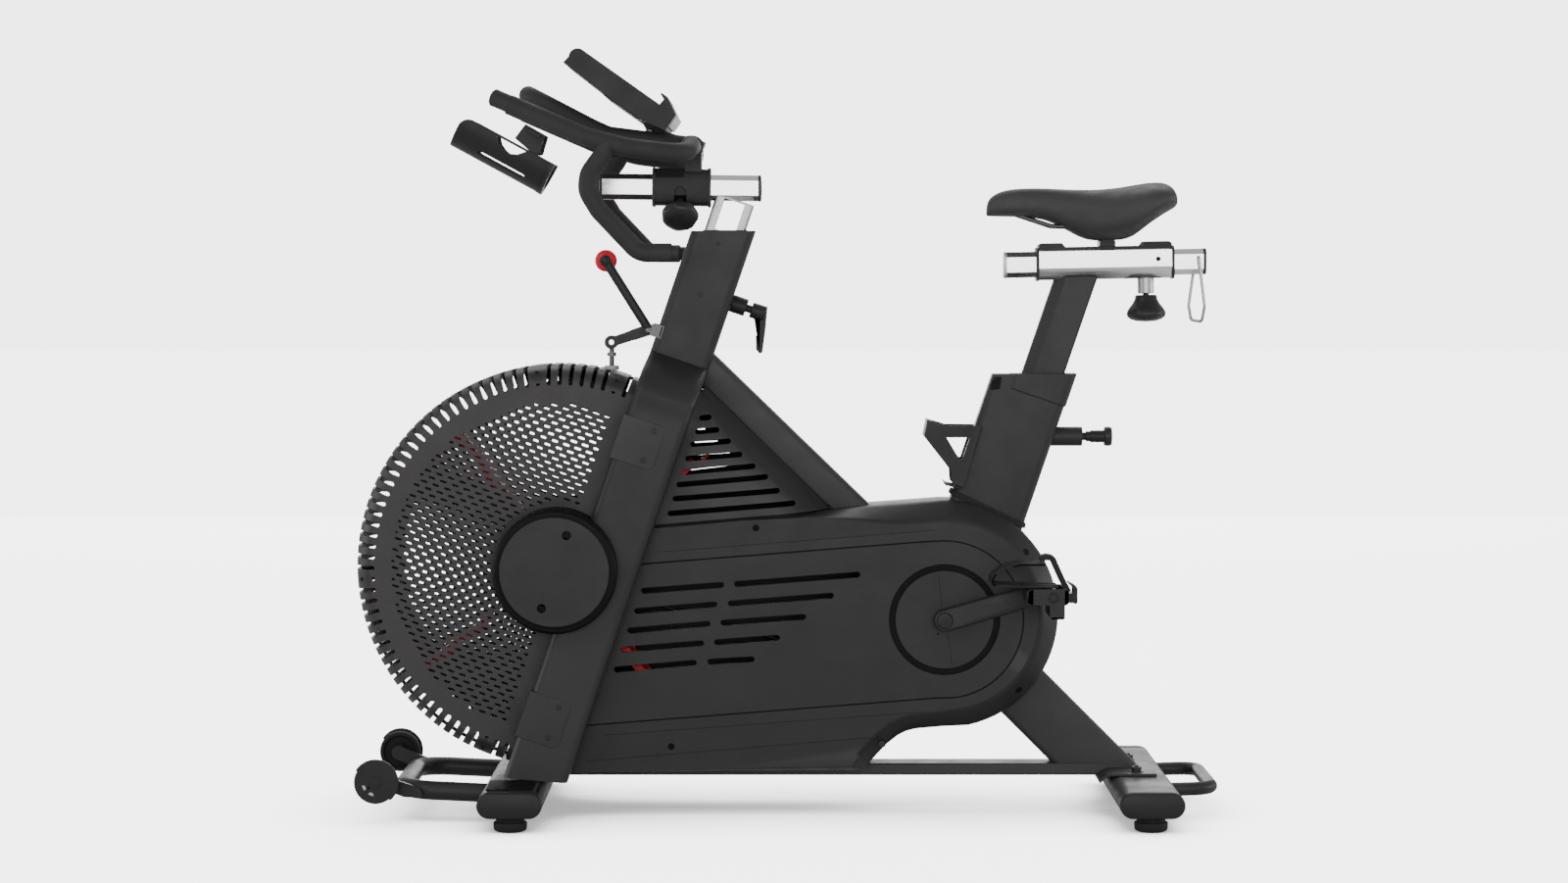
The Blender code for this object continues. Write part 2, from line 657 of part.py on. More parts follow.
def fan_wheel():
    """Paddle fan: a hub with flat blades across the air, and a bore for the axle."""
    outline = []
    hub = 0.0450
    half_thickness = 0.0016
    half_angle = math.degrees(math.asin(half_thickness / hub))
    for blade in range(FAN_BLADES):
        angle = 37.0 + 360.0 * blade / FAN_BLADES
        along = (math.cos(math.radians(angle)), math.sin(math.radians(angle)))
        for across in (-half_thickness, half_thickness):
            outline.append((FAN[0] + FAN_RADIUS * along[0] - across * along[1],
                            FAN[1] + FAN_RADIUS * along[1] + across * along[0]))
        outline += arc(FAN, hub, angle + half_angle, angle + 360.0 / FAN_BLADES - half_angle, 6)
    wheel = prism("fan_wheel", outline, -FAN_HALF_WIDTH, FAN_HALF_WIDTH, red_paint("fan_wheel"))
    bore = cylinder("bore", (FAN[0], 0.0, FAN[1]), (0, 1, 0), 0.0106, -0.2, 0.2, None, 24)
    cut(wheel, bore)
    return set_pivot(wheel, (FAN[0], 0.0, FAN[1]))


def pulley(name, centre, radius, bore_radius, mat):
    """Flat belt pulley with flanges beside the belt."""
    half = BELT_WIDTH / 2 + 0.001
    flange = radius + 0.003
    profile = [(bore_radius, -half - 0.0015), (flange, -half - 0.0015), (flange, -half), (radius, -half),
               (radius, half), (flange, half), (flange, half + 0.0015), (bore_radius, half + 0.0015)]
    wheel = lathe(name, profile, (centre[0], BELT_Y, centre[1]), (0, 1, 0), mat, 32)
    return set_pivot(wheel, (centre[0], BELT_Y, centre[1]))


def belt_outline(extra):
    """Loop round both pulleys: two arcs joined by the outer tangents."""
    across = Vector(CRANK) - Vector(FAN)
    heading = math.degrees(math.atan2(across.y, across.x))
    spread = math.degrees(math.acos((CRANK_PULLEY_RADIUS - FAN_PULLEY_RADIUS) / across.length))
    big = arc(CRANK, CRANK_PULLEY_RADIUS + extra, heading + 180 - spread, heading - 180 + spread, 28)
    small = arc(FAN, FAN_PULLEY_RADIUS + extra, heading + 180 + spread, heading + 180 - spread, 12)
    return big + small


def drive_belt():
    low = BELT_Y - BELT_WIDTH / 2
    high = BELT_Y + BELT_WIDTH / 2
    mat = black_rubber("drive_belt")
    belt = prism("drive_belt", belt_outline(GAP + BELT_THICKNESS), low, high, mat)
    inside = prism("inside", belt_outline(GAP), low - 0.01, high + 0.01, None)
    return cut(belt, inside)


def crank_axle():
    axle = cylinder("crank_axle", (CRANK[0], 0.0, CRANK[1]), (0, 1, 0), 0.0120, -0.1070, 0.1070,
                    bare_steel("crank_axle"), 24)
    return set_pivot(axle, (CRANK[0], 0.0, CRANK[1]))


def pedal_centre(side):
    """The left arm points back; the right arm points the other way."""
    angle = CRANK_ANGLE if side < 0 else CRANK_ANGLE + math.pi
    return on_circle(CRANK, CRANK_LENGTH, angle)


ARM_INNER = 0.0900
ARM_OUTER = 0.1050


def crank_arm(side):
    """Tapered arm with a boss on the axle and a spindle for the pedal."""
    name = sided("crank_arm", side)
    end = pedal_centre(side)
    angle = math.degrees(math.atan2(end[1] - CRANK[1], end[0] - CRANK[0]))
    outline = arc(CRANK, 0.0185, angle + 85, angle + 275, 12) + arc(end, 0.0125, angle - 88, angle + 88, 10)
    low, high = y_range(side, ARM_INNER, ARM_OUTER)
    arm = prism(name, outline, low, high, frame_paint(name), bevel=0.003)
    hole = cylinder("hole", (CRANK[0], 0.0, CRANK[1]), (0, 1, 0), 0.0123, -0.3, 0.3, None, 24)
    cut(arm, hole)
    spindle = cylinder("spindle", (end[0], 0.0, end[1]), (0, side, 0), 0.0070, 0.100, 0.2000, None, 20)
    join(arm, spindle)
    return set_pivot(arm, (CRANK[0], 0.0, CRANK[1]))


PEDAL_INNER = 0.1150
PEDAL_OUTER = 0.2150


def pedal(side):
    """Platform pedal that turns on its spindle."""
    name = sided("pedal", side)
    x, z = pedal_centre(side)
    outline = [(-0.0360, -0.0080), (-0.0330, -0.0115), (-0.0060, -0.0115), (-0.0060, -0.0330),
               (0.0170, -0.0330), (0.0170, -0.0115), (0.0220, -0.0080), (0.0220, 0.0100),
               (0.0170, 0.0125), (-0.0330, 0.0125), (-0.0360, 0.0090)]
    low, high = y_range(side, PEDAL_INNER, PEDAL_OUTER)
    body = prism(name, [(x + dx, z + dz) for dx, dz in outline], low, high, black_plastic(name))
    bore = cylinder("bore", (x, 0.0, z), (0, side, 0), 0.0074, 0.08, 0.2020, None, 20)
    cut(body, bore)
    return set_pivot(body, (x, side * PEDAL_INNER, z))


def toe_cage(side):
    """Cage and strap round the toe, open towards the heel."""
    name = sided("toe_cage", side)
    x, z = pedal_centre(side)
    outer = [(0.0100, 0.0135), (-0.0980, 0.0135), (-0.1080, 0.0200), (-0.1040, 0.0330), (-0.0480, 0.0620),
             (0.0010, 0.0640), (0.0060, 0.0610), (0.0290, 0.0120), (0.0290, -0.0060), (0.0235, -0.0060),
             (0.0235, 0.0110), (0.0020, 0.0570), (-0.0010, 0.0590), (-0.0470, 0.0570), (-0.0990, 0.0290),
             (-0.1010, 0.0210), (-0.0960, 0.0180), (0.0100, 0.0180)]
    low, high = y_range(side, PEDAL_INNER + 0.012, PEDAL_OUTER - 0.012)
    cage = prism(name, [(x + dx, z + dz) for dx, dz in outer], low, high, black_plastic(name))
    return set_pivot(cage, (x, side * PEDAL_INNER, z))


# ---------------------------------------------------------------- handlebar
def bar_post():
    """Chrome post that slides in the mast, with a window, welded under its level rail."""
    mat = chrome("bar_post")
    top = along_mast(-0.0520, 0.0020)
    foot = along_mast(0.1500, 0.0020)
    post = beam("bar_post", top, foot, 0.0610, 0.0380, mat, 0.004)
    window = beam("window", along_mast(-0.0480, 0.0020), along_mast(-0.0020, 0.0020), 0.0330, 0.2, None, 0.0)
    cut(post, window)
    middle = ((RAIL_X[0] + RAIL_X[1]) / 2, RAIL_Z)
    half = (RAIL_X[1] - RAIL_X[0]) / 2
    run = (math.cos(RAIL_TILT), math.sin(RAIL_TILT))
    start = (middle[0] - half * run[0], middle[1] - half * run[1])
    end = (middle[0] + half * run[0], middle[1] + half * run[1])
    rail = beam("rail", start, end, RAIL_SIZE, RAIL_SIZE, None, 0.008, segments=1)
    return join(post, rail)


CARRIAGE_X = (-0.2085, -0.1180)


def bar_carriage():
    """Sleeve round the rail, with the stem block that holds the handlebar."""
    mat = black_plastic("bar_carriage")
    run = math.tan(RAIL_TILT)
    middle_x = (RAIL_X[0] + RAIL_X[1]) / 2

    def rail_height(x):
        return RAIL_Z + (x - middle_x) * run

    start = (CARRIAGE_X[0], rail_height(CARRIAGE_X[0]))
    end = (CARRIAGE_X[1], rail_height(CARRIAGE_X[1]))
    sleeve = beam("bar_carriage", start, end, 0.0580, 0.0600, mat, 0.012, segments=1)
    stem = beam("stem", (-0.1450, 0.9900), (-0.1450, CROSSBAR[1] - 0.005), 0.0260, 0.0520, None, 0.003)
    boss_axis = (0.0, -0.7071, -0.7071)
    boss = cylinder("boss", (-0.1650, 0.0, rail_height(-0.1650)), boss_axis, 0.0120, 0.026, 0.0420, None, 20)
    join(sleeve, stem, boss)
    bore = beam("bore", (-0.32, rail_height(-0.32)), (0.0, rail_height(0.0)), RAIL_SIZE + 0.0010,
                RAIL_SIZE + 0.0010, None, 0.0083, segments=1)
    seat = cylinder("seat", (CROSSBAR[0], 0.0, CROSSBAR[1]), (0, 1, 0), BAR_RADIUS + GAP, -0.1, 0.1, None, 24)
    knob_hole = cylinder("knob_hole", (-0.1650, 0.0, rail_height(-0.1650)), boss_axis, 0.0054, 0.0, 0.06, None, 16)
    return cut(sleeve, bore, seat, knob_hole)


def outer_bar():
    """Crossbar whose ends bend forward, then rise to the forward tips."""
    points = [(-0.4426, -0.1500, 1.1030), (-0.3000, -0.2150, 1.0400), (-0.2400, BAR_Y * -1, 1.0240),
              (-0.1500, -BAR_Y, 1.0130), (CROSSBAR[0], -0.1500, CROSSBAR[1])]
    mirrored = [(x, -y, z) for x, y, z in reversed(points)]
    points[-1] = (CROSSBAR[0], -0.1500, CROSSBAR[1])
    path = rounded_path(points + mirrored, 0.040, 4)
    return tube("outer_bar", path, BAR_RADIUS - 0.0010, grip_foam("outer_bar"))


def inner_bar():
    """Forward loop between the tips, welded to the crossbar's front."""
    start_x = CROSSBAR[0] - BAR_RADIUS - 0.0004
    start_z = CROSSBAR[1] + 0.0015
    points = [(start_x, -0.0700, start_z), (-0.2750, -0.0700, 1.0470), (-0.3050, -0.0700, 1.0610),
              (-0.3995, -0.0700, 1.1104), (-0.3995, 0.0700, 1.1104), (-0.3050, 0.0700, 1.0610),
              (-0.2750, 0.0700, 1.0470), (start_x, 0.0700, start_z)]
    return tube("inner_bar", rounded_path(points, 0.040, 4), 0.0145, grip_foam("inner_bar"))


def drop_grip(side):
    """Curved lower grip under the outer bar, with its end pointing back."""
    name = sided("drop_grip", side)
    y = side * (BAR_Y - 0.0060)
    points = [(-0.2770, y, 1.0050), (-0.2970, y, 0.9930), (-0.3010, y, 0.9560), (-0.2850, y, 0.9260),
              (-0.2480, y, 0.8890), (-0.2260, y, 0.8670), (-0.1627, y, 0.8670)]
    return tube(name, rounded_path(points, 0.022, 3), 0.0140, grip_foam(name))


def knob_profile(stem_radius, start):
    """Mushroom knob on a threaded stem: (radius, distance) points."""
    return [(0.0, start), (stem_radius, start), (stem_radius, 0.0425), (0.0110, 0.0425), (0.0120, 0.0480),
            (0.0235, 0.0540), (0.0260, 0.0600), (0.0245, 0.0680), (0.0160, 0.0725), (0.0, 0.0735)]


def bar_knob():
    """Clamp knob under the handlebar carriage."""
    axis = (0.0, -0.7071, -0.7071)
    middle_x = (RAIL_X[0] + RAIL_X[1]) / 2
    centre = (-0.1650, 0.0, RAIL_Z + (-0.1650 - middle_x) * math.tan(RAIL_TILT))
    knob = lathe("bar_knob", knob_profile(0.0050, 0.0285), centre, axis, black_plastic("bar_knob"), 24)
    return set_pivot(knob, centre)


TABLET_PIVOT = (-0.2120, 1.0545)


def tablet_bracket():
    """Bar between the sides of the inner loop, with two ears and a pin for the tablet tray."""
    x, z = TABLET_PIVOT
    base = prism("tablet_bracket", [(x - 0.014, 1.0310), (x + 0.014, 1.0290), (x + 0.014, 1.0410),
                                    (x - 0.014, 1.0430)], -0.0552, 0.0552, black_plastic("tablet_bracket"))
    pieces = []
    for side in (-1, 1):
        outline = [(x - 0.0070, 1.0350), (x + 0.0070, 1.0350)] + arc(TABLET_PIVOT, 0.0065, 0, 180, 8)
        low, high = y_range(side, 0.0215, 0.0260)
        pieces.append(prism("ear", outline, low, high, None))
    pieces.append(cylinder("pin", (x, 0.0, z), (0, 1, 0), 0.0025, -0.0290, 0.0290, None, 16))
    return join(base, *pieces)


def tablet_holder():
    """Tray with a lip at its foot, tilting on a bracket behind the inner loop."""
    outline = [(-0.3400, 1.1560), (-0.3300, 1.1755), (-0.3210, 1.1780), (-0.3080, 1.1740), (-0.1930, 1.0925),
               (-0.1870, 1.1000), (-0.1925, 1.1095), (-0.1830, 1.1040), (-0.1690, 1.0770), (-0.1860, 1.0520),
               (-0.2260, 1.0700), (-0.2800, 1.1080)]
    tray = prism("tablet_holder", outline, -0.1250, 0.1250, black_plastic("tablet_holder"))
    x, z = TABLET_PIVOT
    web = prism("web", [(x - 0.0040, z), (x + 0.0040, z), (x + 0.0060, z + 0.0200), (x - 0.0040, z + 0.0200)],
                -0.0210, 0.0210, None)
    knuckle = cylinder("knuckle", (x, 0.0, z), (0, 1, 0), 0.0060, -0.0210, 0.0210, None, 20)
    join(tray, web, knuckle)
    hole = cylinder("hole", (x, 0.0, z), (0, 1, 0), 0.0028, -0.1, 0.1, None, 16)
    cut(tray, hole)
    return set_pivot(tray, (x, 0.0, z))


BOTTLE_SLOPE = math.radians(-28.5)
BOTTLE_START = (-0.5024, 1.0725)
BOTTLE_LENGTH = 0.1570
BOTTLE_RADIUS = 0.0430


def along_bottle(reach, rise=0.0):
    """A point of the bottle trough's axis, raised across it."""
    run = (math.cos(BOTTLE_SLOPE), math.sin(BOTTLE_SLOPE))
    return (BOTTLE_START[0] + reach * run[0] - rise * run[1],
            BOTTLE_START[1] + reach * run[1] + rise * run[0])


def bottle_holder():
    """Sloping open trough in front of the bars, hung from the inner loop."""
    rim = 0.0080
    wall = 0.0030
    section = [(BOTTLE_RADIUS, rim)] + arc((0.0, 0.0), BOTTLE_RADIUS, 0, -180, 14) + [(-BOTTLE_RADIUS, rim)]
    inside = BOTTLE_RADIUS - wall
    section += [(-inside, rim)] + arc((0.0, 0.0), inside, -180, 0, 14) + [(inside, rim)]
    bm = bmesh.new()
    rows = []
    for reach in (0.0, BOTTLE_LENGTH):
        row = []
        for across, rise in section:
            x, z = along_bottle(reach, rise)
            row.append(bm.verts.new((x, across, z)))
        rows.append(row)
    for i in range(len(section)):
        j = (i + 1) % len(section)
        bm.faces.new((rows[0][i], rows[0][j], rows[1][j], rows[1][i]))
    bm.faces.new(rows[0])
    bm.faces.new(list(reversed(rows[1])))
    trough = add_mesh("bottle_holder", bm, black_plastic("bottle_holder"))
    plate = beam("plate", along_bottle(0.1180, 0.0020), along_bottle(0.1180, 0.0560), 0.0280, 0.0857, None, 0.0)
    clamp = beam("clamp", along_bottle(0.1060, 0.0520), along_bottle(0.1300, 0.0520), 0.0080, 0.1100, None, 0.0)
    return join(trough, plate, clamp)


# ---------------------------------------------------------------- saddle
def slider_point(reach, rise=0.0):
    """A point of the saddle slider's line, from its middle."""
    run = (math.cos(SLIDER_TILT), math.sin(SLIDER_TILT))
    return (SLIDER_CENTRE[0] + reach * run[0] - rise * run[1],
            SLIDER_CENTRE[1] + reach * run[1] + rise * run[0])


def seat_post():
    """Post that slides in the seat tube and carries the slider's sleeve."""
    top = along_seat(-0.1870, 0.0135)
    post = beam("seat_post", top, along_seat(0.1500, 0.0135), 0.0625, 0.0400, frame_paint("seat_post"),
                0.008, segments=1)
    above = [slider_point(-0.3, -0.0258), slider_point(0.3, -0.0258), slider_point(0.3, 0.2),
             slider_point(-0.3, 0.2)]
    return cut(post, prism("above", above, -0.1, 0.1, None))


def slider_sleeve():
    """Chrome sleeve across the seat post, with a threaded boss for its knob."""
    half = SLIDER_SLEEVE_LENGTH / 2
    sleeve = beam("slider_sleeve", slider_point(-half), slider_point(half), 0.0510, 0.0520,
                  chrome("slider_sleeve"), 0.011, segments=1)
    knob_x = 0.0640
    block = beam("block", slider_point(knob_x, -0.020), slider_point(knob_x, -0.0480), 0.0220, 0.0240, None, 0.003)
    join(sleeve, block)
    bore = beam("bore", slider_point(-0.3), slider_point(0.3), 0.0412, 0.0412, None, 0.0082, segments=1)
    # Open on top, so that the saddle's stem can travel.
    lid = beam("lid", slider_point(-0.0440, 0.024), slider_point(0.0640, 0.024), 0.020, 0.0260, None, 0.0)
    hole_at = slider_point(knob_x, 0.0)
    down = (slider_point(0.0, -1.0)[0] - SLIDER_CENTRE[0], 0.0, slider_point(0.0, -1.0)[1] - SLIDER_CENTRE[1])
    hole = cylinder("hole", (hole_at[0], 0.0, hole_at[1]), down, 0.0054, 0.005, 0.08, None, 16)
    return cut(sleeve, bore, lid, hole)


def slider_tube():
    """Inner tube that slides in the sleeve and carries the saddle's clamp."""
    half = SLIDER_TUBE_LENGTH / 2
    body = beam("slider_tube", slider_point(-half), slider_point(half), 0.0400, 0.0400,
                chrome("slider_tube"), 0.008, segments=1)
    stem_at = slider_point(0.0050, 0.0)
    stem = cylinder("stem", (stem_at[0], 0.0, stem_at[1]), (0, 0, 1), 0.0115, 0.0, 0.0345, None, 24)
    clamp = beam("clamp", slider_point(-0.018, 0.0340), slider_point(0.028, 0.0340), 0.0070, 0.0500, None, 0.0)
    join(body, stem, clamp)
    return body


def saddle():
    """Plain solid of the saddle: wide behind, a narrow nose in front."""
    stations = [(0.3100, 0.0100, 0.9240, 0.9330), (0.3170, 0.0200, 0.9225, 0.9560), (0.3400, 0.0260, 0.9225, 0.9655),
                (0.3900, 0.0330, 0.9230, 0.9670), (0.4400, 0.0470, 0.9050, 0.9650), (0.4900, 0.0780, 0.8950, 0.9660),
                (0.5350, 0.1080, 0.9050, 0.9740), (0.5700, 0.1150, 0.9180, 0.9775), (0.5900, 0.0960, 0.9300, 0.9700),
                (0.6010, 0.0600, 0.9400, 0.9580)]
    steps = 16
    bm = bmesh.new()
    rings = []
    for x, half_width, low, high in stations:
        ring = []
        for i in range(steps):
            angle = 2 * math.pi * i / steps
            across = math.copysign(abs(math.cos(angle)) ** 0.75, math.cos(angle))
            rise = math.copysign(abs(math.sin(angle)) ** 0.75, math.sin(angle))
            z = (low + high) / 2 + rise * (high - low) / 2
            ring.append(bm.verts.new((x, across * half_width, z)))
        rings.append(ring)
    for first, second in zip(rings, rings[1:]):
        for i in range(steps):
            j = (i + 1) % steps
            bm.faces.new((first[i], first[j], second[j], second[i]))
    bm.faces.new(rings[0])
    bm.faces.new(list(reversed(rings[-1])))
    return add_mesh("saddle", bm, material("saddle_cover", (0.045, 0.044, 0.044), 0.55), 60)


def seat_knob():
    """Clamp knob under the saddle slider."""
    centre = slider_point(0.0640, 0.0)
    down = slider_point(0.0, -1.0)
    axis = (down[0] - SLIDER_CENTRE[0], 0.0, down[1] - SLIDER_CENTRE[1])
    profile = [(0.0, 0.0215), (0.0050, 0.0215), (0.0050, 0.0490), (0.0120, 0.0490), (0.0140, 0.0540),
               (0.0260, 0.0760), (0.0290, 0.0840), (0.0280, 0.0910), (0.0, 0.0935)]
    knob = lathe("seat_knob", profile, (centre[0], 0.0, centre[1]), axis, black_plastic("seat_knob"), 24)
    return set_pivot(knob, (centre[0], 0.0, centre[1]))


BAIL_PIVOT = (0.6385, 0.8575)


def wire_bail():
    """Hanging wire loop on two pins at the back of the slider tube."""
    y = 0.0225
    x, z = BAIL_PIVOT
    points = [(x, -0.0203, z), (x, -y, z), (x + 0.0010, -y, z - 0.0300), (x + 0.0040, -0.0150, z - 0.0900),
              (x + 0.0040, 0.0150, z - 0.0900), (x + 0.0010, y, z - 0.0300), (x, y, z), (x, 0.0203, z)]
    return tube("wire_bail", rounded_path(points, 0.008, 3), 0.0016, chrome("wire_bail"))


def pop_pin():
    """Spring-loaded pull pin through the back of the seat tube."""
    profile = [(0.0, 0.0200), (0.0060, 0.0200), (0.0060, 0.0600), (0.0100, 0.0604), (0.0100, 0.0760),
               (0.0160, 0.0820), (0.0165, 0.0920), (0.0150, 0.0950), (0.0, 0.0955)]
    return lathe("pop_pin", profile, (0.4100, 0.0, 0.5818), (1, 0, 0), black_plastic("pop_pin"), 24)


# ---------------------------------------------------------------- controls
BRAKE_PIVOT = (-0.2150, 0.7480)
BRAKE_EYE = (-0.2734, 0.7285)
BRAKE_GRIP = (-0.2823, 0.8553)
BRAKE_ROD_Y = 0.0110
BRAKE_ROD_RADIUS = 0.0050


def brake_bracket():
    """Two ears in front of the mast that hold the brake lever's pin."""
    back_top = at_height(MAST_TOP, 0.7690, -MAST_DEPTH / 2 - GAP)
    back_low = at_height(MAST_TOP, 0.7260, -MAST_DEPTH / 2 - GAP)
    outline = [back_top, back_low, (-0.2200, 0.7380), (-0.2240, 0.7480), (-0.2200, 0.7600)]
    body = prism("brake_bracket", outline, -0.0150, 0.0150, bare_steel("brake_bracket"))
    inner_back = -MAST_DEPTH / 2 - 0.0035
    slot = prism("slot", [at_height(MAST_TOP, 0.7990, inner_back), at_height(MAST_TOP, 0.6990, inner_back),
                          (-0.30, 0.6990), (-0.30, 0.7990)], -0.0068, 0.0068, None)
    cut(body, slot)
    pin = cylinder("pin", (BRAKE_PIVOT[0], 0.0, BRAKE_PIVOT[1]), (0, 1, 0), 0.0040, -0.0185, 0.0185, None, 16)
    return join(body, pin)


def brake_lever():
    """Bell crank: a long arm up to the red knob and a short arm to the brake rod."""
    name = "brake_lever"
    mat = frame_paint(name)
    long_arm = beam(name, BRAKE_PIVOT, BRAKE_GRIP, 0.0120, 0.0100, mat, 0.003)
    short_arm = beam("short_arm", BRAKE_PIVOT, BRAKE_EYE, 0.0130, 0.0100, None, 0.002)
    hub = cylinder("hub", (BRAKE_PIVOT[0], 0.0, BRAKE_PIVOT[1]), (0, 1, 0), 0.0085, -0.0058, 0.0058, None, 20)
    eye = cylinder("eye", (BRAKE_EYE[0], 0.0, BRAKE_EYE[1]), (0, 1, 0), 0.0093, -0.0054, 0.0054, None, 20)
    end = cylinder("end", (BRAKE_GRIP[0], 0.0, BRAKE_GRIP[1]), (0, 1, 0), 0.0085, -0.0080, 0.0056, None, 20)
    join(long_arm, short_arm, hub, eye, end)
    pin_hole = cylinder("pin_hole", (BRAKE_PIVOT[0], 0.0, BRAKE_PIVOT[1]), (0, 1, 0), 0.0043, -0.1, 0.1, None, 16)
    cut(long_arm, pin_hole)
    return set_pivot(long_arm, (BRAKE_PIVOT[0], 0.0, BRAKE_PIVOT[1]))


def brake_knob():
    """Red round knob on the end of the brake lever."""
    profile = [(0.0, 0.0059), (0.0130, 0.0059), (0.0163, 0.0090), (0.0163, 0.0200), (0.0130, 0.0240),
               (0.0, 0.0250)]
    return lathe("brake_knob", profile, (BRAKE_GRIP[0], 0.0, BRAKE_GRIP[1]), (0, 1, 0), red_paint("brake_knob"), 24)


def brake_rod():
    """Rod from the lever's eye down through the guard to the brake shoe."""
    return cylinder("brake_rod", (BRAKE_EYE[0], BRAKE_ROD_Y, 0.0), (0, 0, 1), BRAKE_ROD_RADIUS, 0.6780, 0.7390,
                    bare_steel("brake_rod"), 16)


def clamp_lever():
    """Ratchet lever on a stud in the back of the mast."""
    mat = black_plastic("clamp_lever")
    stud_at = along_mast(0.1020, 0.0)
    axis = (BACK[0], 0.0, BACK[1])
    start = MAST_DEPTH / 2 + GAP
    profile = [(0.0, start), (0.0120, start), (0.0120, start + 0.0230), (0.0060, start + 0.0230),
               (0.0060, start + 0.0330), (0.0110, start + 0.0330), (0.0110, start + 0.0480),
               (0.0, start + 0.0480)]
    stud = lathe("clamp_lever", profile, (stud_at[0], 0.0, stud_at[1]), axis, mat, 24)
    hub = along_mast(0.1020, start + 0.0410)
    arm = beam("arm", (hub[0], hub[1]), (hub[0] - 0.0020, hub[1] - 0.0780), 0.0110, 0.0140, None, 0.003)
    join(stud, arm)
    return set_pivot(stud, (stud_at[0], 0.0, stud_at[1]))


def bottle_cage():
    """Bent strip cage on the front of the seat tube."""
    def front(z):
        return at_height(SEAT_TOP, z, -SEAT_TUBE_DEPTH / 2 - GAP)[0]

    outline = [(front(0.6020), 0.6020), (front(0.5000), 0.5000), (front(0.5000) - 0.0060, 0.4975),
               (front(0.5000) - 0.0360, 0.5080), (front(0.5000) - 0.0330, 0.5150),
               (front(0.5300) - 0.0250, 0.5300), (front(0.5800) - 0.0760, 0.5800),
               (front(0.6000) - 0.0850, 0.6000), (front(0.6000) - 0.0810, 0.6080),
               (front(0.5980) - 0.0060, 0.5980), (front(0.6020) - 0.0055, 0.6020)]
    cage = prism("bottle_cage", outline, -0.0400, 0.0400, black_plastic("bottle_cage"))
    hollow = [(front(0.5900) - 0.0720, 0.5900), (front(0.5400) - 0.0230, 0.5330), (front(0.5400) - 0.0070, 0.5330),
              (front(0.5900) - 0.0070, 0.5900)]
    window = prism("window", hollow, -0.1, 0.1, None)
    return cut(cage, window)


# ---------------------------------------------------------------- assembly
def main():
    clear_scene()
    stabilizer("front_stabilizer", FRONT_X)
    stabilizer("rear_stabilizer", REAR_X)
    feet()
    transport_bar()
    rear_handle()
    bottom_rail()
    mast_tube()
    fork_crown()
    diagonal_tube()
    rear_leg()
    seat_tube()
    bottom_bracket_shell()
    for side in (-1, 1):
        transport_wheel(side)
        fork_leg(side)
        casing(side)
        fan_guard(side)
        hub_cap(side)
        crank_arm(side)
        pedal(side)
        toe_cage(side)
        drop_grip(side)
    fan_axle()
    fan_wheel()
    pulley("fan_pulley", FAN, FAN_PULLEY_RADIUS, 0.0106, bare_steel("fan_pulley"))
    pulley("crank_pulley", CRANK, CRANK_PULLEY_RADIUS, 0.0123, black_plastic("crank_pulley"))
    drive_belt()
    crank_axle()
    bar_post()
    bar_carriage()
    outer_bar()
    inner_bar()
    bar_knob()
    tablet_bracket()
    tablet_holder()
    bottle_holder()
    seat_post()
    slider_sleeve()
    slider_tube()
    saddle()
    seat_knob()
    wire_bail()
    pop_pin()
    brake_bracket()
    brake_lever()
    brake_knob()
    brake_rod()
    clamp_lever()
    bottle_cage()


main()
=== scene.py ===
"""Air bike: the visual model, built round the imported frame."""

import json
import math

import bmesh
import bpy
from mathutils import Matrix, Vector


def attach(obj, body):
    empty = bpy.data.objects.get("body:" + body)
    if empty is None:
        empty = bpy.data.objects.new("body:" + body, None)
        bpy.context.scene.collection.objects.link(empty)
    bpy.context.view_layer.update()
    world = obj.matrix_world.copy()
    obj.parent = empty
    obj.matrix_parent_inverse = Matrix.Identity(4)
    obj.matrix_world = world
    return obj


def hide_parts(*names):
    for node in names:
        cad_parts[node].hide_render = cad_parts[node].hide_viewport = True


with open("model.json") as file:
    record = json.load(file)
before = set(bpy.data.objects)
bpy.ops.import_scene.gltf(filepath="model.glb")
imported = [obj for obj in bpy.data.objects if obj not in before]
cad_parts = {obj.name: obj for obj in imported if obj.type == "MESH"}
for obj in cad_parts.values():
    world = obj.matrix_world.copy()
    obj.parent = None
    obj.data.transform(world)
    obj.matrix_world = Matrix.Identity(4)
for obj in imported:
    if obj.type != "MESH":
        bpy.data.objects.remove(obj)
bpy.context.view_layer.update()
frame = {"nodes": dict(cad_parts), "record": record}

# ---------------------------------------------------------------- camera, floor and light
camera_data = bpy.data.cameras.new("camera")
camera_data.lens = 82.5
camera_data.sensor_width = 36.0
camera_data.clip_end = 60.0
camera = bpy.data.objects.new("camera", camera_data)
camera.location = (-0.0045, -5.6, 0.8495)
camera.rotation_euler = (math.radians(90.0 - 2.82), 0.0, 0.0)
bpy.context.scene.collection.objects.link(camera)
bpy.context.scene.camera = camera


def area_light(name, place, target, size, radiance):
    """A soft box whose face has the given radiance."""
    light = bpy.data.lights.new(name, "AREA")
    light.shape = "RECTANGLE"
    light.size = size[0]
    light.size_y = size[1]
    light.energy = radiance * math.pi * size[0] * size[1]
    obj = bpy.data.objects.new(name, light)
    obj.location = place
    obj.rotation_euler = (Vector(target) - Vector(place)).to_track_quat("-Z", "Y").to_euler()
    obj.visible_camera = False
    bpy.context.scene.collection.objects.link(obj)


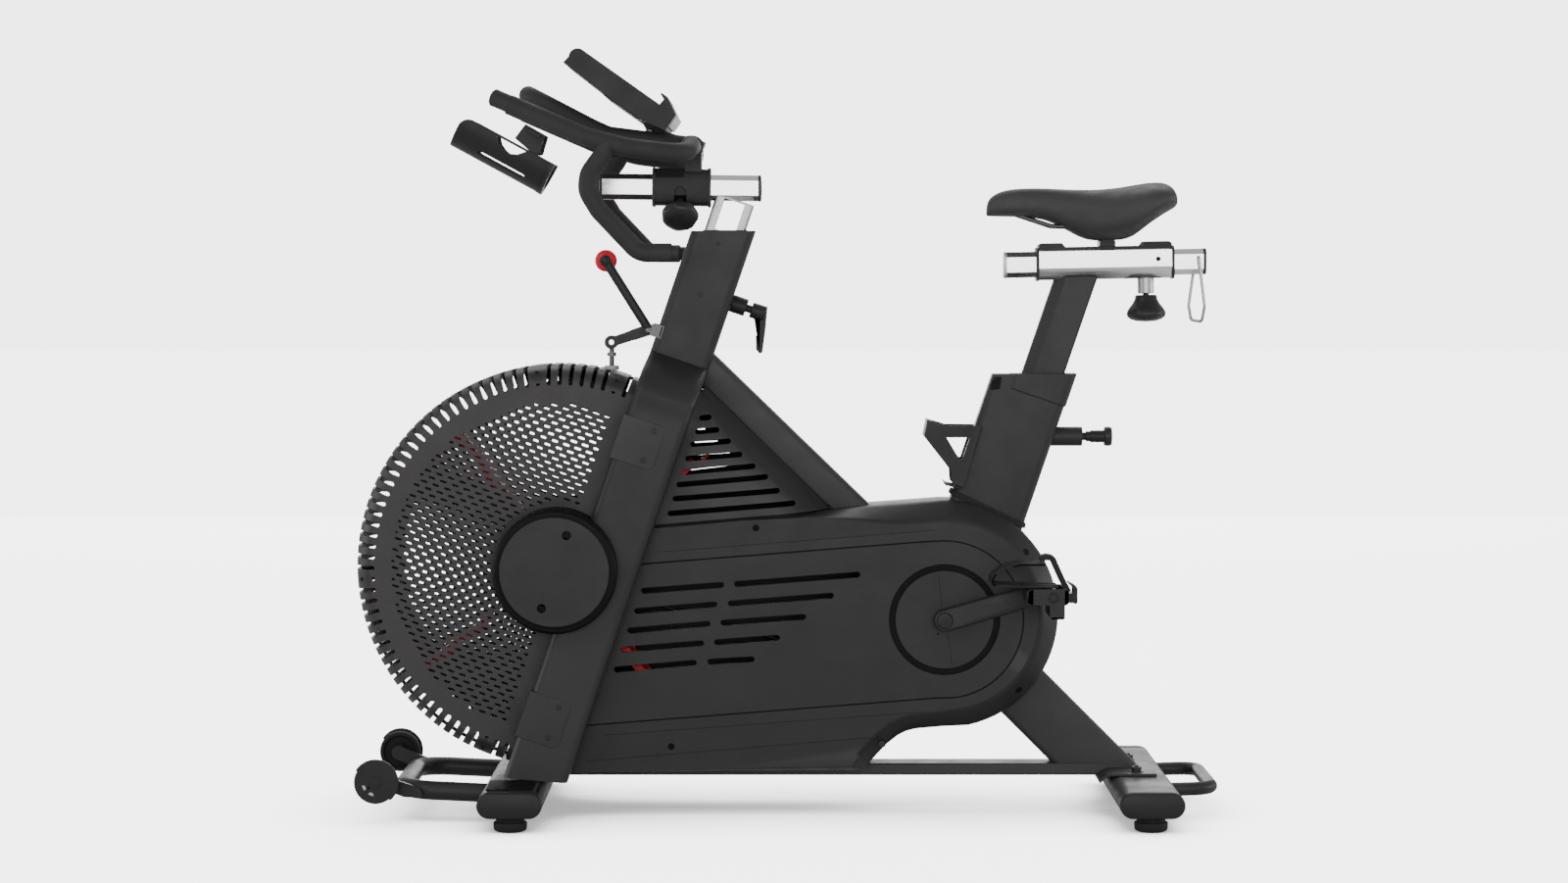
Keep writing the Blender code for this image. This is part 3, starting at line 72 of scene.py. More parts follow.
area_light("top", (0.0, 2.3, 3.2), (0.0, 0.0, 0.5), (3.6, 1.8), 2.6)
area_light("key", (-2.6, -3.0, 3.0), (0.0, 0.0, 0.5), (1.8, 1.8), 3.4)
area_light("fill", (3.0, -3.2, 2.2), (0.0, 0.0, 0.6), (1.8, 1.8), 1.8)
for name, x, y in (("front", 0.2, -6.6), ("behind", -0.2, 6.6), ("left", -6.6, 0.0),
                   ("right", 6.6, 0.0)):
    area_light(name, (x, y, 1.25), (x * 0.1, y * 0.1, 0.9), (5.6, 1.5), 4.4)

BACKGROUND = 4.2
world = bpy.data.worlds.new("studio")
world.use_nodes = True
world_tree = world.node_tree
seen = world_tree.nodes.new("ShaderNodeLightPath")
level = world_tree.nodes.new("ShaderNodeMapRange")
level.inputs["To Min"].default_value = 0.55
level.inputs["To Max"].default_value = BACKGROUND
world_tree.links.new(seen.outputs["Is Camera Ray"], level.inputs["Value"])
world_tree.links.new(level.outputs["Result"], world_tree.nodes["Background"].inputs["Strength"])
world_tree.nodes["Background"].inputs["Color"].default_value = (1.0, 1.0, 1.0, 1.0)
bpy.context.scene.world = world


# ---------------------------------------------------------------- materials
def new_material(name):
    mat = bpy.data.materials.new(name)
    mat.use_nodes = True
    tree = mat.node_tree
    return mat, tree, tree.nodes["Principled BSDF"]


def node(tree, kind, **values):
    made = tree.nodes.new(kind)
    for key, value in values.items():
        if key in made.inputs:
            made.inputs[key].default_value = value
        else:
            setattr(made, key, value)
    return made


def noise(tree, scale, detail=4.0, stretch=(1.0, 1.0, 1.0)):
    """Noise in object space, so that it keeps its size on every piece."""
    where = node(tree, "ShaderNodeTexCoord")
    mapping = node(tree, "ShaderNodeMapping")
    mapping.inputs["Scale"].default_value = stretch
    tree.links.new(where.outputs["Object"], mapping.inputs["Vector"])
    made = node(tree, "ShaderNodeTexNoise", Scale=scale, Detail=detail)
    tree.links.new(mapping.outputs["Vector"], made.inputs["Vector"])
    return made.outputs["Fac"]


def ramp(tree, factor, low, high, start=0.3, end=0.7):
    """A colour or grey that follows a factor."""
    made = tree.nodes.new("ShaderNodeValToRGB")
    made.color_ramp.elements[0].position = start
    made.color_ramp.elements[1].position = end
    made.color_ramp.elements[0].color = low
    made.color_ramp.elements[1].color = high
    tree.links.new(factor, made.inputs["Fac"])
    return made.outputs["Color"]


def grey(value):
    return (value, value, value, 1.0)


def shade(colour, factor):
    return (colour[0] * factor, colour[1] * factor, colour[2] * factor, 1.0)


def bump(tree, shader, height, strength, distance, chain=None):
    made = node(tree, "ShaderNodeBump", Strength=strength, Distance=distance)
    tree.links.new(height, made.inputs["Height"])
    if chain is not None:
        tree.links.new(chain, made.inputs["Normal"])
    tree.links.new(made.outputs["Normal"], shader.inputs["Normal"])
    return made.outputs["Normal"]


def painted_edge_highlight(tree, colour, highlight_colour, start=0.52, end=0.60):
    """Mix in a lighter colour along convex edges: a painted highlight where the edges would catch
    the light.
    """
    geometry = node(tree, "ShaderNodeNewGeometry")
    mask = ramp(tree, geometry.outputs["Pointiness"], grey(0.0), grey(1.0), start, end)
    mix = node(tree, "ShaderNodeMix", data_type="RGBA")
    tree.links.new(mask, mix.inputs["Factor"])
    tree.links.new(colour, mix.inputs["A"])
    mix.inputs["B"].default_value = highlight_colour
    return mix.outputs["Result"]


def coated(name, colour, roughness, grain_scale, grain, spread=0.10, highlight_gain=0.25, specular=0.28):
    """Paint or moulded plastic: mottled colour, uneven gloss, fine grain and a painted highlight on
    convex edges.
    """
    mat, tree, shader = new_material(name)
    patches = noise(tree, 9.0)
    base = ramp(tree, patches, shade(colour, 1.0 - spread), shade(colour, 1.0 + spread))
    # Convex edges are lightened here: a painted highlight.
    base = painted_edge_highlight(tree, base, shade(colour, 1.0 + 4.0 * highlight_gain))
    tree.links.new(base, shader.inputs["Base Color"])
    gloss = noise(tree, 23.0, 6.0)
    rough = ramp(tree, gloss, grey(roughness - 0.05), grey(roughness + 0.06))
    tree.links.new(rough, shader.inputs["Roughness"])
    fine = noise(tree, grain_scale, 2.0)
    bump(tree, shader, fine, grain, 0.0004)
    shader.inputs["Specular IOR Level"].default_value = specular
    return mat


def polished(name, colour, roughness, stretch=(4.0, 90.0, 90.0)):
    """Chrome or steel with faint brushing along X."""
    mat, tree, shader = new_material(name)
    lines = noise(tree, 12.0, 6.0, stretch)
    tree.links.new(ramp(tree, lines, shade(colour, 0.94), shade(colour, 1.0)),
                   shader.inputs["Base Color"])
    tree.links.new(ramp(tree, lines, grey(roughness - 0.03), grey(roughness + 0.06)),
                   shader.inputs["Roughness"])
    shader.inputs["Metallic"].default_value = 1.0
    bump(tree, shader, lines, 0.04, 0.0002)
    return mat


def leather(name, colour):
    """Synthetic leather: small cells over a softer mottle."""
    mat, tree, shader = new_material(name)
    tree.links.new(ramp(tree, noise(tree, 14.0), shade(colour, 0.88), shade(colour, 1.12)),
                   shader.inputs["Base Color"])
    tree.links.new(ramp(tree, noise(tree, 60.0), grey(0.46), grey(0.60)),
                   shader.inputs["Roughness"])
    where = node(tree, "ShaderNodeTexCoord")
    cells = node(tree, "ShaderNodeTexVoronoi", Scale=620.0, feature="DISTANCE_TO_EDGE")
    tree.links.new(where.outputs["Object"], cells.inputs["Vector"])
    pores = ramp(tree, cells.outputs["Distance"], grey(0.0), grey(1.0), 0.0, 0.22)
    first = bump(tree, shader, pores, 0.22, 0.0003)
    bump(tree, shader, noise(tree, 160.0, 3.0), 0.10, 0.0005, first)
    shader.inputs["Specular IOR Level"].default_value = 0.30
    return mat


MATERIALS = {
    "frame_paint": coated("frame_paint", (0.0200, 0.0184, 0.0188), 0.44, 900.0, 0.10),
    "cover_plastic": coated("cover_plastic", (0.0190, 0.0182, 0.0184), 0.46, 1400.0, 0.16),
    "rubber": coated("rubber", (0.0075, 0.0075, 0.0075), 0.72, 700.0, 0.25, highlight_gain=0.4),
    "wheel_plastic": coated("wheel_plastic", (0.0130, 0.0130, 0.0132), 0.36, 900.0, 0.08),
    "bare_steel": polished("bare_steel", (0.46, 0.46, 0.47), 0.34),
    "red": coated("red", (0.62, 0.014, 0.028), 0.38, 800.0, 0.05, highlight_gain=0.02),
    "lever_black": coated("lever_black", (0.0110, 0.0105, 0.0108), 0.40, 900.0, 0.06),
    "black_plastic": coated("black_plastic", (0.0135, 0.0132, 0.0135), 0.46, 1200.0, 0.14),
    "grip_coating": coated("grip_coating", (0.0240, 0.0238, 0.0240), 0.66, 1600.0, 0.30, highlight_gain=0.08),
    "chrome": polished("chrome", (0.86, 0.835, 0.825), 0.16),
    "saddle_cover": leather("saddle_cover", (0.0400, 0.0385, 0.0390)),
    "knob_plastic": coated("knob_plastic", (0.0170, 0.0165, 0.0168), 0.34, 1200.0, 0.06),
}
MATERIALS["dark"] = coated("dark", (0.0022, 0.0022, 0.0023), 0.50, 900.0, 0.10, highlight_gain=0.05,
                           specular=0.14)
MATERIALS["bolt"] = polished("bolt", (0.10, 0.10, 0.105), 0.32)
MATERIALS["label"] = coated("label", (0.42, 0.42, 0.43), 0.42, 900.0, 0.04, highlight_gain=0.02)

SLOT_OF = {part["node"]: part["material_slot"] for part in frame["record"]["subparts"]}
for name, obj in frame["nodes"].items():
    obj.data.materials.clear()
    obj.data.materials.append(MATERIALS[SLOT_OF[name]])

# ---------------------------------------------------------------- dimensions
LEAN = math.radians(18.8)
UP = (math.sin(LEAN), math.cos(LEAN))
BACK = (math.cos(LEAN), -math.sin(LEAN))
MAST_TOP = (-0.0984, 0.9015)
SEAT_TOP = (0.3840, 0.6795)
FAN = (-0.3527, 0.3835)
CRANK = (0.2427, 0.3030)
GUARD_RADIUS = 0.3120
GUARD_FACE_Y = 0.0950
GUARD_SHEET = 0.0025
PERFORATION_RADIUS = 0.2560
SLOT_COUNT = 107
SLOT_WIDTH = 0.0066
SLOT_START = 0.2845
CASING_Y = 0.0850
CASING_REAR = (0.2438, 0.3080)
CASING_REAR_RADIUS = 0.1765
PANEL_RADIUS = 0.1210
LEG_SURFACE_Y = 0.1400
CUT_DIST = 0.00001
FINE_CUT_DIST = 0.000001


def along_mast(down, back):
    """A point of the XZ plane, from the mast's top: down along it and back across it."""
    return (MAST_TOP[0] - down * UP[0] + back * BACK[0],
            MAST_TOP[1] - down * UP[1] + back * BACK[1])


def along_seat(down, back):
    """The same for the seat tube."""
    return (SEAT_TOP[0] - down * UP[0] + back * BACK[0],
            SEAT_TOP[1] - down * UP[1] + back * BACK[1])


def on_mast(point):
    """How far a point lies down and back of the mast's top."""
    x, z = point[0] - MAST_TOP[0], point[1] - MAST_TOP[1]
    return (-(x * UP[0] + z * UP[1]), x * BACK[0] + z * BACK[1])


def arc(centre, radius, start, end, steps):
    points = []
    for i in range(steps + 1):
        angle = math.radians(start + (end - start) * i / steps)
        points.append((centre[0] + radius * math.cos(angle), centre[1] + radius * math.sin(angle)))
    return points


# ---------------------------------------------------------------- mesh helpers
def add(name, bm, mat, body, nodes=(), angle=38.0, bevel=0.0, segments=2):
    """Turn a bmesh into a piece that rides on a body and stands for some CAD nodes."""
    bmesh.ops.recalc_face_normals(bm, faces=bm.faces)
    mesh = bpy.data.meshes.new(name)
    bm.to_mesh(mesh)
    bm.free()
    mesh.materials.append(MATERIALS[mat])
    mesh.shade_smooth()
    mesh.set_sharp_from_angle(angle=math.radians(angle))
    obj = bpy.data.objects.new(name, mesh)
    bpy.context.scene.collection.objects.link(obj)
    if bevel:
        rounding = obj.modifiers.new("rounding", "BEVEL")
        rounding.width = bevel
        rounding.segments = segments
        rounding.limit_method = "ANGLE"
        rounding.angle_limit = math.radians(angle)
        rounding.harden_normals = True
    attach(obj, body)
    if nodes:
        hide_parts(*nodes)
    return obj


def mirrored(bm):
    """Flip a left-side bmesh to the right side."""
    bmesh.ops.scale(bm, vec=(1.0, -1.0, 1.0), verts=bm.verts)
    bmesh.ops.reverse_faces(bm, faces=bm.faces)
    return bm


def both_sides(name, make, mat, nodes=(), body="frame", **options):
    """Build the left piece and its mirror image; nodes are base names of sided CAD nodes."""
    for side, ending in ((-1, "left"), (1, "right")):
        bm = make()
        if side > 0:
            mirrored(bm)
        add(f"{name}_{ending}", bm, mat, body, [f"{base}_{ending}" for base in nodes], **options)


def filled(outer, holes=()):
    """A flat sheet in the XZ plane with holes, as a bmesh of triangles."""
    bm = bmesh.new()
    edges = []
    for loop in [outer, *holes]:
        verts = [bm.verts.new((x, 0.0, z)) for x, z in loop]
        for i, vert in enumerate(verts):
            edges.append(bm.edges.new((vert, verts[(i + 1) % len(verts)])))
    bmesh.ops.triangle_fill(bm, edges=edges, use_beauty=True)
    return bm


def thicken(bm, y_face, y_back):
    """Give a flat sheet its thickness, from its face to its back."""
    bmesh.ops.translate(bm, verts=bm.verts, vec=(0.0, y_face, 0.0))
    grown = bmesh.ops.extrude_face_region(bm, geom=bm.faces[:])
    moved = [v for v in grown["geom"] if isinstance(v, bmesh.types.BMVert)]
    bmesh.ops.translate(bm, verts=moved, vec=(0.0, y_back - y_face, 0.0))
    return bm


def capsule(start, end, radius, steps=5):
    """Outline of a slot between two points."""
    angle = math.degrees(math.atan2(end[1] - start[1], end[0] - start[0]))
    return arc(start, radius, angle + 90, angle + 270, steps) + arc(end, radius, angle - 90,
            angle + 90, steps)


def circle(centre, radius, steps=24):
    return arc(centre, radius, 0, 360 - 360 / steps, steps - 1)


def loft(rings, closed=True, caps=True):
    """Skin a row of equal rings of points."""
    bm = bmesh.new()
    rows = [[bm.verts.new(p) for p in ring] for ring in rings]
    count = len(rows[0])
    for first, second in zip(rows, rows[1:]):
        for i in range(count if closed else count - 1):
            j = (i + 1) % count
            bm.faces.new((first[i], first[j], second[j], second[i]))
    if caps:
        bm.faces.new(rows[0])
        bm.faces.new(list(reversed(rows[-1])))
    return bm


def turned(profile, centre, axis, steps=48):
    """Turn a profile of (radius, distance) points about an axis; radius 0 closes an end."""
    turn = Vector((0.0, 0.0, 1.0)).rotation_difference(Vector(axis)).to_matrix().to_4x4()
    place = Matrix.Translation(Vector(centre)) @ turn
    bm = bmesh.new()
    rings = []
    for radius, height in profile:
        if radius < 1e-6:
            rings.append([bm.verts.new((0.0, 0.0, height))])
            continue
        points = circle((0.0, 0.0), radius, steps)
        rings.append([bm.verts.new((x, y, height)) for x, y in points])
    pairs = list(zip(rings, rings[1:]))
    if profile[0][0] > 1e-6 and profile[-1][0] > 1e-6:
        pairs.append((rings[-1], rings[0]))
    for first, second in pairs:
        for i in range(steps):
            corners = [first[i % len(first)], first[(i + 1) % len(first)],
                       second[(i + 1) % len(second)], second[i % len(second)]]
            unique = list(dict.fromkeys(corners))
            if len(unique) > 2:
                bm.faces.new(unique)
    bmesh.ops.transform(bm, matrix=place, verts=bm.verts)
    return bm


def pin_profile(radius, half):
    """Profile of a plain cylinder, for turned()."""
    return [(0.0, -half), (radius, -half), (radius, half), (0.0, half)]


def merge(*parts):
    """Put several bmeshes into the first one."""
    first = parts[0]
    for other in parts[1:]:
        mesh = bpy.data.meshes.new("part")
        other.to_mesh(mesh)
        other.free()
        first.from_mesh(mesh)
        bpy.data.meshes.remove(mesh)
    return first


def rounded_section(depth, width, radius, steps=5):
    """A rounded rectangle as (across, sideways) points."""
    points = []
    for start, sign_a, sign_b in ((0, 1, 1), (90, -1, 1), (180, -1, -1), (270, 1, -1)):
        corner = (sign_a * (depth / 2 - radius), sign_b * (width / 2 - radius))
        points += arc(corner, radius, start, start + 90, steps)
    return points


def bar(start, end, depth, width, radius, steps=5, y=0.0, ease=0.0012):
    """A straight rounded-rectangle bar between two XZ points."""
    run = (Vector(end) - Vector(start)).normalized()
    across = Vector((-run.y, run.x))
    length = (Vector(end) - Vector(start)).length
    rings = []

    def ring(reach, inset):
        section = rounded_section(depth - 2 * inset, width - 2 * inset,
                                  max(radius - inset, 0.0004), steps)
        middle = Vector(start) + run * reach
        rings.append([(middle.x + across.x * a, y + b, middle.y + across.y * a)
                      for a, b in section])

    ring(0.0, ease)
    ring(ease, 0.0)
    ring(length - ease, 0.0)
    ring(length, ease)
    return loft(rings)


def rod(start, end, radius, steps=20, ease=0.0006):
    """A round rod between two points in space."""
    axis = Vector(end) - Vector(start)
    length = axis.length
    profile = [(0.0, 0.0), (radius - ease, 0.0), (radius, ease), (radius, length - ease),
               (radius - ease, length), (0.0, length)]
    return turned(profile, start, axis, steps)


def path_points(points, radius, steps=8):
    """Points of a run whose corners are rounded."""
    path = [Vector(points[0])]
    for before, corner, after in zip(points, points[1:], points[2:]):
        before, corner, after = Vector(before), Vector(corner), Vector(after)
        back = (before - corner).normalized()
        ahead = (after - corner).normalized()
        half = back.angle(ahead) / 2
        if half > math.radians(89.5):
            path.append(corner)
            continue
        reach = min(radius / math.tan(half), 0.48 * (before - corner).length,
                    0.48 * (after - corner).length)
        bend = reach * math.tan(half)
        centre = corner + (back + ahead).normalized() * (bend / math.sin(half))
        start = corner + back * reach - centre
        end = corner + ahead * reach - centre
        sweep = start.angle(end)
        for i in range(steps + 1):
            share = i / steps
            path.append(centre + start * (math.sin((1 - share) * sweep) / math.sin(sweep))
                        + end * (math.sin(share * sweep) / math.sin(sweep)))
    path.append(Vector(points[-1]))
    return path


def swept(path, section):
    """Sweep a section along points; it is (a, b) points, or a function of the path's share."""
    path = [Vector(p) for p in path]
    kept = [path[0]]
    for point in path[1:]:
        if (point - kept[-1]).length > 0.0001:
            kept.append(point)
    path = kept
    lengths = [0.0]
    for a, b in zip(path, path[1:]):
        lengths.append(lengths[-1] + (b - a).length)
    normal = None
    rings = []
    for i, point in enumerate(path):
        ahead = path[min(i + 1, len(path) - 1)] - path[max(i - 1, 0)]
        ahead.normalize()
        if normal is None:
            normal = Vector((0.0, 1.0, 0.0)).cross(ahead)
            if normal.length < 0.1:
                normal = Vector((0.0, 0.0, 1.0)).cross(ahead)
        normal = (normal - ahead * normal.dot(ahead)).normalized()
        side = ahead.cross(normal)
        points = section(lengths[i] / lengths[-1]) if callable(section) else section
        rings.append([point + normal * a + side * b for a, b in points])
    return loft(rings)


def bent_tube(points, radius, bend=0.03, steps=20, corner_steps=8):
    return swept(path_points(points, bend, corner_steps), circle((0.0, 0.0), radius, steps))


def slab(outline, y_low, y_high):
    """A flat plate from an XZ outline."""
    return loft([[(x, y_low, z) for x, z in outline], [(x, y_high, z) for x, z in outline]])


def keep_behind(bm, origin, direction):
    """Cut away everything on the far side of a plane, and close the cut."""
    geometry = bm.verts[:] + bm.edges[:] + bm.faces[:]
    result = bmesh.ops.bisect_plane(bm, geom=geometry, dist=CUT_DIST, plane_co=origin,
                                    plane_no=direction,
                                    clear_outer=True)
    cut_edges = [e for e in result["geom_cut"] if isinstance(e, bmesh.types.BMEdge)]
    bmesh.ops.holes_fill(bm, edges=cut_edges)
    return bm


# ---------------------------------------------------------------- fan guards
def clipped(centre, half, radius):
    """Shorten a hole's run along the rows so that it stays in the perforated area."""
    steps = 8
    inside = []
    for i in range(-steps, steps + 1):
        reach = half * i / steps
        x, z = centre[0] + reach * BACK[0], centre[1] + reach * BACK[1]
        distance = math.hypot(x - FAN[0], z - FAN[1])
        back = on_mast((x, z))[1]
        if 0.1010 + radius < distance < PERFORATION_RADIUS - radius and back < -0.0740:
            inside.append((x, z))
    return inside


def perforations(shift):
    """Rows of slots across the fork's direction; shift moves the pattern (across, along)."""
    pitch = 0.01882
    row_gap = 0.0088
    half = 0.0038
    radius = 0.0019
    start = (-0.4297 + shift[0] * BACK[0] + shift[1] * UP[0],
             0.3066 + shift[0] * BACK[1] + shift[1] * UP[1])
    holes = []
    for row in range(-48, 49):
        for column in range(-22, 23):
            along = (column + 0.5 * (row % 2)) * pitch
            centre = (start[0] + along * BACK[0] + row * row_gap * UP[0],
                      start[1] + along * BACK[1] + row * row_gap * UP[1])
            run = clipped(centre, half, radius)
            if len(run) > 1:
                holes.append(capsule(run[0], run[-1], radius, 3))
    return holes


def slot_angles():
    """Middle angles of the rim's slots, from the mast's line round the front and back to it."""
    angles = []
    for k in range(SLOT_COUNT):
        angle = 2 * math.pi * (k + 0.5) / SLOT_COUNT
        x = FAN[0] + 0.298 * math.cos(angle)
        z = FAN[1] + 0.298 * math.sin(angle)
        if on_mast((x, z))[1] < -0.0200:
            angles.append(angle)
    start = next(i for i, a in enumerate(angles) if i and a - angles[i - 1] > 0.2) if any(
        b - a > 0.2 for a, b in zip(angles, angles[1:])) else 0
    return angles[start:] + angles[:start]


def polar(angle, radius):
    return (FAN[0] + radius * math.cos(angle), FAN[1] + radius * math.sin(angle))


def guard_face(shift):
    """Flat face: scalloped between the rim's fins, with holes in rows."""
    angles = slot_angles()
    outer = []
    half = SLOT_WIDTH / 2
    fin_radius = SLOT_START + 0.0030
    for angle in angles:
        middle = polar(angle, SLOT_START)
        turn = math.degrees(angle)
        outer.append(polar(angle - half / fin_radius, fin_radius))
        outer += arc(middle, half, turn - 90, turn - 270, 6)
        outer.append(polar(angle + half / fin_radius, fin_radius))
    low, high = on_mast(outer[-1]), on_mast(outer[0])
    outer.append(along_mast(low[0] + 0.004, 0.0))
    outer.append(along_mast(high[0] - 0.004, 0.0))
    bm = filled(outer, perforations(shift))
    return thicken(bm, -GUARD_FACE_Y, -GUARD_FACE_Y + GUARD_SHEET)


def fin_outline():
    """(radius, y) outline of one fin: the rounded rim outside, deep towards the seam."""
    points = []
    for i in range(11):
        angle = math.radians(90.0 * i / 10)
        points.append((SLOT_START + 0.0010 + (GUARD_RADIUS - SLOT_START - 0.0010) * math.sin(angle),
                       -(0.0520 + (GUARD_FACE_Y - 0.0520) * math.cos(angle))))
    points.append((GUARD_RADIUS, -0.0036))
    points.append((GUARD_RADIUS - 0.0045, -0.0036))
    points.append((GUARD_RADIUS - 0.0070, -0.0520))
    points.append((SLOT_START + 0.0150, -0.0790))
    points.append((SLOT_START + 0.0010, -0.0880))
    return points


BOSS_TURNS = (95.2, -175.6, -111.2, 73.0)


def boss_angles():
    """Middle angles of the slots that the guard's screw bosses close."""
    return [min(slot_angles(), key=lambda angle: abs(math.remainder(angle - math.radians(turn),
            2 * math.pi)))
            for turn in BOSS_TURNS]


def boss_well_shade():
    """Painted shade: dark discs on the bosses, standing in for the shadow in the screw wells."""
    parts = []
    for angle in boss_angles():
        x, z = polar(angle, GUARD_RADIUS - 0.0105)
        parts.append(turned([(0.0, -0.0875), (0.0030, -0.0875), (0.0030, -0.0800), (0.0, -0.0800)],
                            (x, 0.0, z),
                            (0, 1, 0), 16))
    return merge(*parts)


def guard_rim():
    """Fins between the slots, over the rounded rim."""
    bm = bmesh.new()
    pitch = 2 * math.pi / SLOT_COUNT
    half = SLOT_WIDTH / 2
    spans = [(angle + pitch / 2, pitch / 2, -half) for angle in slot_angles()[:-1]]
    spans += [(angle, 0.0, half) for angle in boss_angles()]
    for middle, turn, width in spans:
        sides = []
        for way in (-1, 1):
            row = []
            for radius, y in fin_outline():
                x, z = polar(middle + way * (turn + width / radius), radius)
                row.append(bm.verts.new((x, y, z)))
            sides.append(row)
        count = len(sides[0])
        for i in range(count):
            j = (i + 1) % count
            bm.faces.new((sides[0][i], sides[0][j], sides[1][j], sides[1][i]))
        bm.faces.new(sides[0])
        bm.faces.new(list(reversed(sides[1])))
    return bm


def ring_arc(profile, start, end, steps):
    """Sweep a closed (radius, y) profile round the fan's centre, between two angles."""
    rings = []
    for i in range(steps + 1):
        angle = start + (end - start) * i / steps
        ring = []
        for radius, y in profile:
            x, z = polar(angle, radius)
            ring.append((x, y, z))
        rings.append(ring)
    return loft(rings)


def guard_span():
    """First and last angle of the rim, behind the fork legs."""
    angles = slot_angles()
    pitch = 2 * math.pi / SLOT_COUNT
    low, high = angles[0], angles[-1]
    if high < low:
        high += 2 * math.pi
    return low - pitch * 0.5, high + pitch * 0.5


def guard_band():
    """Band along the seam, over the rim's whole span."""
    low, high = guard_span()
    radius = GUARD_RADIUS
    band = [(radius, -0.0004), (radius, -0.0050), (radius - 0.0045, -0.0050),
            (radius - 0.0045, -0.0004)]
    return ring_arc(band, low, high, 128)


add("guard_face_left", guard_face((0.0, 0.0)), "frame_paint", "frame", ["fan_guard_left"],
    angle=30.0)
add("guard_face_right", mirrored(guard_face((0.0025, -0.0036))), "frame_paint", "frame",
    ["fan_guard_right"],
    angle=30.0)
both_sides("guard_rim", guard_rim, "frame_paint", angle=30.0)
both_sides("guard_band", guard_band, "frame_paint", angle=30.0)
# Dark discs on the guard bosses: painted shade of the screw wells.
both_sides("guard_well_shade", boss_well_shade, "dark")


# ---------------------------------------------------------------- hub caps
def hub_ring():
    """Recessed ring behind the cap."""
    profile = [(0.0550, -0.1760 + 0.0060), (0.0835, -0.1700), (0.0850, -0.1690), (0.0905, -0.1690),
               (0.0948, -0.1650), (0.0948, -0.1000), (0.0900, -0.0962), (0.0550, -0.0962)]
    return turned(profile, (FAN[0], 0.0, FAN[1]), (0, 1, 0), 96)


def hub_disc():
    """Flat cap with two screw wells."""
    wells = [(-0.3339, 0.4395), (-0.3721, 0.3286)]
    bm = filled(circle(FAN, 0.0832, 96), [circle(well, 0.0065, 20) for well in wells])
    return thicken(bm, -0.1755, -0.1690)


both_sides("hub_ring", hub_ring, "dark", ["hub_cap"])
both_sides("hub_disc", hub_disc, "frame_paint", bevel=0.0012)


# ---------------------------------------------------------------- fan wheel
def fan_hub():
    profile = [(0.0160, -0.0560), (0.0500, -0.0560), (0.0640, -0.0500), (0.0700, -0.0180),
               (0.0700, 0.0180), (0.0640, 0.0500), (0.0500, 0.0560), (0.0160, 0.0560)]
    return turned(profile, (FAN[0], 0.0, FAN[1]), (0, 1, 0), 64)


def fan_blades():
    """Four flat paddles with a folded edge, on arms from the hub."""
    parts = []
    for k in range(4):
        angle = math.radians(37.0 + 90.0 * k)
        run = (math.cos(angle), math.sin(angle))
        across = (-run[1], run[0])

        def place(reach, offset, y):
            return (FAN[0] + run[0] * reach + across[0] * offset, y,
                    FAN[1] + run[1] * reach + across[1] * offset)

        corners = [(0.0660, 0.0340), (0.1200, 0.0340), (0.1500, 0.0480), (0.2600, 0.0480),
                   (0.2860, 0.0400)]
        outline = [(r, -y) for r, y in corners] + [(r, y) for r, y in reversed(corners)]
        parts.append(loft([[place(r, -0.0045, y) for r, y in outline],
                           [place(r, -0.0015, y) for r, y in outline]]))
        for fold in (-0.0480, 0.0450):
            strip = [(0.1500, fold), (0.2600, fold), (0.2600, fold + 0.0030),
                     (0.1500, fold + 0.0030)]
            parts.append(loft([[place(r, -0.0015, y) for r, y in strip],
                               [place(r, 0.0080, y) for r, y in strip]]))
    return merge(*parts)


add("fan_hub", fan_hub(), "dark", "fan", ["fan_wheel"])
add("fan_blades", fan_blades(), "red", "fan", bevel=0.0008)


# ---------------------------------------------------------------- casing
def casing_line():
    """(x, z, weight) points of the side outline; weight scales the rounded edge there."""
    front_top = along_mast(0.4868, 0.0030)
    points = [(*front_top, 0.0), (-0.1200, 0.4512, 0.0), (-0.0700, 0.4560, 0.0),
              (0.0300, 0.4655, 0.15), (0.0850, 0.4722, 0.45), (0.1287, 0.4762, 0.75),
              (0.1800, 0.4800, 1.0)]
    for x, z in arc(CASING_REAR, CASING_REAR_RADIUS, 97, -78, 36):
        points.append((x, z, 1.0))
    for x, z in [(0.2400, 0.1335), (0.2000, 0.1300), (0.1850, 0.1262), (0.1720, 0.1195),
                 (0.1560, 0.1070), (0.1400, 0.0905), (0.1290, 0.0780), (0.1210, 0.0650)]:
        points.append((x, z, 0.85))
    points.append((0.1000, 0.0650, 0.35))
    points.append((-0.1000, 0.0650, 0.2))
    foot = along_mast(0.8838, 0.0030)
    points.append((*foot, 0.0))
    return points


CASING_EDGE = [(0.0, 0.0004), (0.0, 0.0500), (0.0008, 0.0545), (0.0030, 0.0582), (0.0225, 0.0800),
               (0.0252, 0.0824), (0.0288, 0.0844), (0.0330, CASING_Y)]


def inwards(amount):
    """The outline moved towards the inside of the casing."""
    line = casing_line()
    moved = []
    for i, (x, z, weight) in enumerate(line):
        before, after = line[i - 1], line[(i + 1) % len(line)]
        run = Vector((after[0] - before[0], after[1] - before[1])).normalized()
        inside = Vector((run.y, -run.x))
        moved.append((x + inside.x * amount * weight, z + inside.y * amount * weight))
    return moved


def casing_edge():
    """Rounded edge of the casing, from the seam to the flat face, open towards the fan."""
    rings = []
    for amount, y in CASING_EDGE:
        rings.append([(x, -y, z) for x, z in inwards(amount)])
    bm = loft(rings, caps=False)
    around_fan = []
    for face in bm.faces:
        middle = face.calc_center_median()
        over_fan = middle.x < -0.0700 and middle.z > 0.3000 and abs(middle.y) < 0.0490
        if over_fan or on_mast((middle.x, middle.z))[1] < 0.0060:
            around_fan.append(face)
    bmesh.ops.delete(bm, geom=around_fan, context="FACES_ONLY")
    return bm


